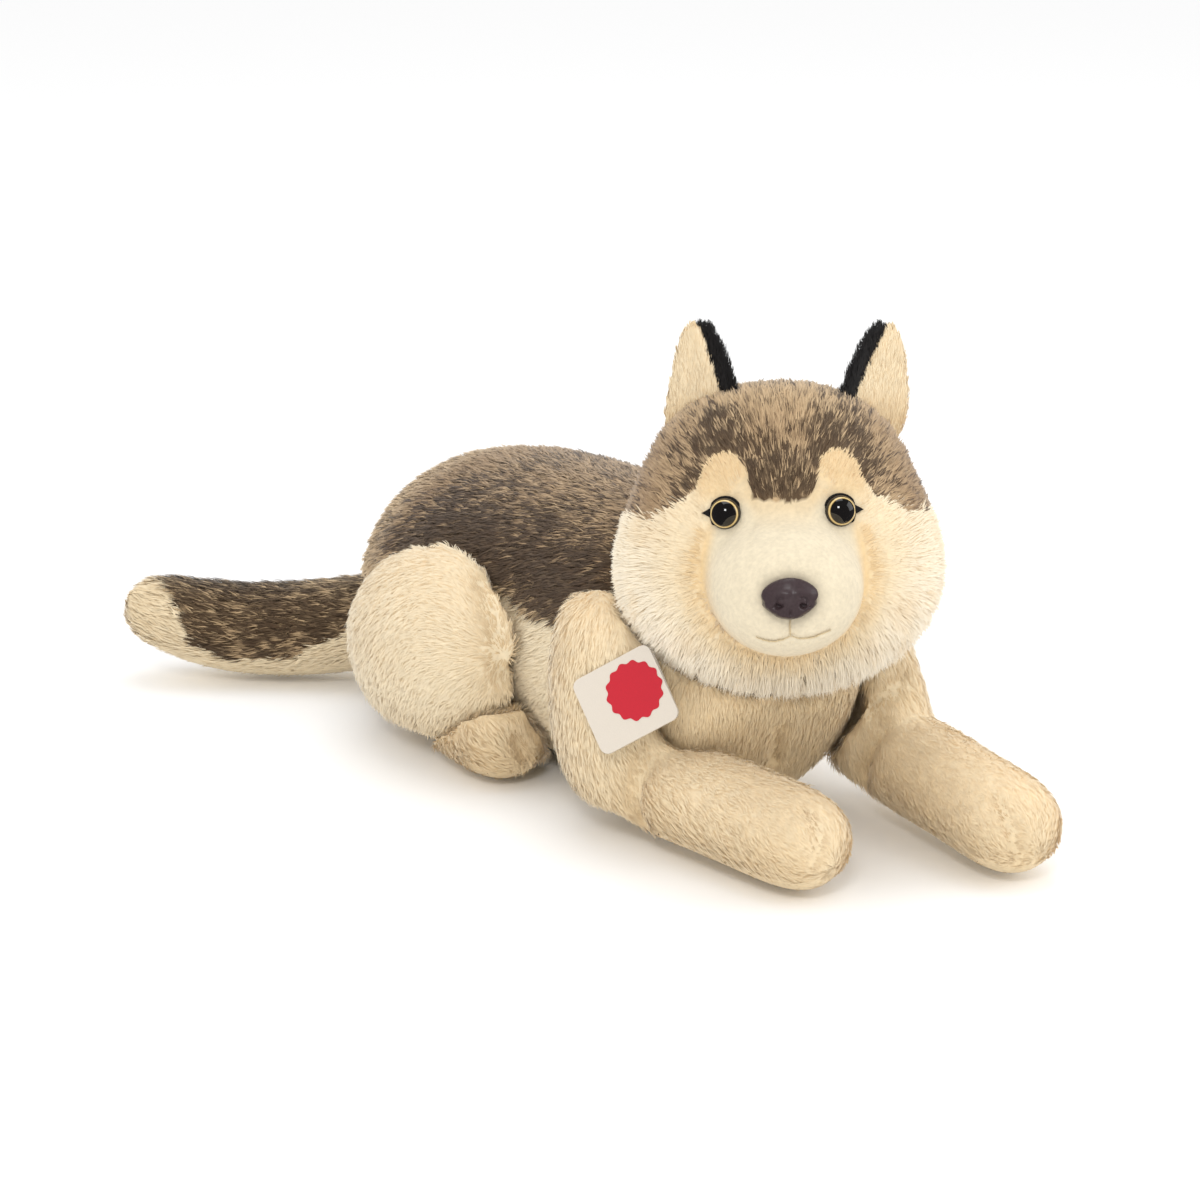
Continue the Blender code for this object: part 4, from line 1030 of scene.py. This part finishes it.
def eye_material():
    made, tree, shader = material("eye_look", 0.04, 0.0, 0.6)
    shader.inputs["Coat Weight"].default_value = 0.3
    shader.inputs["Coat Roughness"].default_value = 0.02
    share = tree.nodes.new("ShaderNodeAttribute")
    share.attribute_name = "from_middle"
    ramp = tree.nodes.new("ShaderNodeValToRGB")
    stops = ramp.color_ramp.elements
    pupil, gold, deep = (0.004, 0.003, 0.003, 1), (*srgb(222, 196, 136), 1), (*srgb(120, 92, 44), 1)
    stops[0].position, stops[0].color = 0.0, pupil
    stops[1].position, stops[1].color = 1.0, pupil
    for place, colour in ((PUPIL_SHARE - 0.010, pupil), (PUPIL_SHARE + 0.012, deep),
                          (PUPIL_SHARE + 0.040, gold), (RING_SHARE - 0.025, gold),
                          (RING_SHARE, deep), (RING_SHARE + 0.018, pupil)):
        stop = stops.new(place)
        stop.color = colour
    tree.links.new(share.outputs["Fac"], ramp.inputs["Fac"])
    tree.links.new(ramp.outputs["Color"], shader.inputs["Base Color"])
    return made


EYE_LOOK = eye_material()


def make_eye(side, sign):
    out, up = math.radians(13), math.radians(4)
    axis = Vector(out_of_head(np.array((math.sin(out) * sign, -math.cos(out) * math.cos(up),
                                        math.sin(up))))).normalized()
    points = vertices_of(NODES[f"eye_{side}"].data)
    middle = Vector(points.mean(axis=0))
    front = max(Vector(point).dot(axis) for point in points)
    base = middle + axis * (front - EYE_RISE - middle.dot(axis))
    ball = (EYE_RADIUS ** 2 + EYE_RISE ** 2) / (2 * EYE_RISE)
    shares = (0.0, 0.15, 0.3, 0.42, 0.54, 0.64, 0.70, 0.735, 0.76, 0.775, 0.79, 0.81, 0.835, 0.865,
              0.885, 0.91, 0.94, 0.97, 1.0)
    profile = []
    for share in shares:
        radius = share * EYE_RADIUS
        profile.append((radius, math.sqrt(ball ** 2 - radius ** 2) - ball + EYE_RISE, share))
    profile += [(EYE_RADIUS * 0.99, -0.0006, 1.0), (EYE_RADIUS * 0.9, -0.001, 1.0), (0.0, -0.001, 1.0)]
    bm = bmesh.new()
    layer = bm.verts.layers.float.new("from_middle")
    rings, turns = [], 72
    for radius, height, share in profile:
        ring = []
        for step in range(turns if radius > 0 else 1):
            angle = 2 * math.pi * step / turns
            vert = bm.verts.new((radius * math.cos(angle), radius * math.sin(angle), height))
            vert[layer] = share
            ring.append(vert)
        rings.append(ring)
    for low, high in zip(rings, rings[1:]):
        for step in range(turns):
            after = (step + 1) % turns
            corners = [low[step % len(low)], low[after % len(low)],
                       high[after % len(high)], high[step % len(high)]]
            bm.faces.new(list(dict.fromkeys(corners)))
    bmesh.ops.recalc_face_normals(bm, faces=bm.faces)
    mesh = bpy.data.meshes.new(f"eye_dome_{side}")
    bm.to_mesh(mesh)
    bm.free()
    smooth_faces(mesh)
    obj = new_object(f"eye_dome_{side}", mesh)
    obj.matrix_world = Matrix.Translation(base) @ axis.to_track_quat("Z", "Y").to_matrix().to_4x4()
    mesh.materials.append(EYE_LOOK)
    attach(obj, "root")
    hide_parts(f"eye_{side}")


make_eye("right", -1)
make_eye("left", 1)


# Nose: the moulded form, with its nostrils' grooves

NOSE_WIDER = 0.17   # how much wider its lower half is than the solid's

nose = rounded_copy("nose_cast", ["nose"], 0.00045, 8)
smooth_faces(nose.data)
points = in_head(vertices_of(nose.data))
low = points[:, 2] - NOSE_Z
points[:, 0] *= 1 + NOSE_WIDER * smooth(-0.0005, -0.0035, low) * (1 - 0.35 * smooth(-0.0048, -0.0064, low))
move_points(nose, out_of_head(points) + HEAD_MIDDLE)
nose_tree = tree_of(nose)
grooves = []
for middle_x, middle_y, side in ((780.5, 602.5, -1), (803.5, 601.5, 1)):
    turns = [math.radians(60 + 30 * step) for step in range(9)]
    ring = [(middle_x - side * 4.3 * math.cos(turn), middle_y - 4.3 * math.sin(turn)) for turn in turns]
    ring.append((middle_x + side * 7.5, middle_y + 5.2))
    grooves.append((from_frame(nose_tree, ring), 0.00055, 0.0008, None))
    ridge = [(middle_x - side * 7, middle_y - 8.5), (middle_x, middle_y - 9.5),
             (middle_x + side * 7, middle_y - 7.5)]
    grooves.append((from_frame(nose_tree, ridge), 0.0013, -0.0005, None))
notch = from_frame(nose_tree, [(790.6, 612.0), (790.6, 615.5)])
grooves.append((notch, 0.0007, 0.0012, None))
press(nose, [groove for groove in grooves if len(groove[0]) > 1])
nose.data.materials.clear()
nose.data.materials.append(NOSE_LOOK)
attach(nose, "root")
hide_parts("nose")


# Print on the tag: one plain red spot

SPOT_PLACE, SPOT_RADIUS, SPOT_SCALLOPS, SPOT_WAVE = (634.5, 690.5), 0.0135, 14, 0.045


def make_spot():
    tag_tree = tree_of(NODES["swing_tag"])
    middle = from_frame(tag_tree, [SPOT_PLACE])
    if not len(middle):
        return
    _, normal, _, _ = tag_tree.find_nearest(Vector(middle[0]))
    if normal.dot(camera_back) < 0:
        normal = -normal
    bm = bmesh.new()
    turns = 168
    for height in (0.00005, 0.00016):
        ring = []
        for step in range(turns):
            angle = 2 * math.pi * step / turns
            radius = SPOT_RADIUS * (1 + SPOT_WAVE * math.cos(SPOT_SCALLOPS * angle))
            ring.append(bm.verts.new((radius * math.cos(angle), radius * math.sin(angle), height)))
        bm.faces.new(ring)
    bm.verts.ensure_lookup_table()
    for step in range(turns):
        after = (step + 1) % turns
        bm.faces.new((bm.verts[step], bm.verts[after], bm.verts[turns + after], bm.verts[turns + step]))
    bmesh.ops.recalc_face_normals(bm, faces=bm.faces)
    mesh = bpy.data.meshes.new("tag_print")
    bm.to_mesh(mesh)
    bm.free()
    obj = new_object("tag_print", mesh)
    turn = normal.to_track_quat("Z", "Y").to_matrix().to_4x4()
    obj.matrix_world = Matrix.Translation(Vector(middle[0])) @ turn
    mesh.materials.append(PRINT_LOOK)
    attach(obj, "root")


make_spot()


# Light and floor

def add_area(name, place, size, power, colour=(1, 1, 1)):
    data = bpy.data.lights.new(name, "AREA")
    data.size = size
    data.energy = power
    data.color = colour
    obj = bpy.data.objects.new(name, data)
    bpy.context.scene.collection.objects.link(obj)
    obj.location = place
    obj.rotation_euler = (Vector(place) - Vector((0, 0, 0.08))).to_track_quat("Z", "Y").to_euler()


world = bpy.data.worlds.new("studio")
bpy.context.scene.world = world
world.use_nodes = True
backdrop = world.node_tree.nodes["Background"]
backdrop.inputs["Color"].default_value = (1, 1, 1, 1)
seen = world.node_tree.nodes.new("ShaderNodeLightPath")
dimmed = world.node_tree.nodes.new("ShaderNodeMapRange")   # polished parts mirror a darker room
dimmed.inputs["To Min"].default_value = 1.0
dimmed.inputs["To Max"].default_value = 0.12
world.node_tree.links.new(seen.outputs["Is Glossy Ray"], dimmed.inputs["Value"])
world.node_tree.links.new(dimmed.outputs["Result"], backdrop.inputs["Strength"])
add_area("key", (-1.2, -1.5, 1.6), 0.5, 12)
add_area("fill", (1.6, -1.0, 0.9), 1.4, 8)
add_area("top", (0.1, 0.3, 1.9), 1.2, 7)

floor_mesh = bpy.data.meshes.new("floor")
bm = bmesh.new()
bmesh.ops.create_grid(bm, x_segments=1, y_segments=1, size=6.0)
bm.to_mesh(floor_mesh)
bm.free()
floor = new_object("floor", floor_mesh)
floor_look, _, shader = material("pale_floor", 0.9, 0.0, 0.1)
shader.inputs["Base Color"].default_value = (0.98, 0.98, 0.98, 1)
floor.data.materials.append(floor_look)
floor.visible_glossy = False

bpy.context.scene.view_settings.view_transform = "Standard"
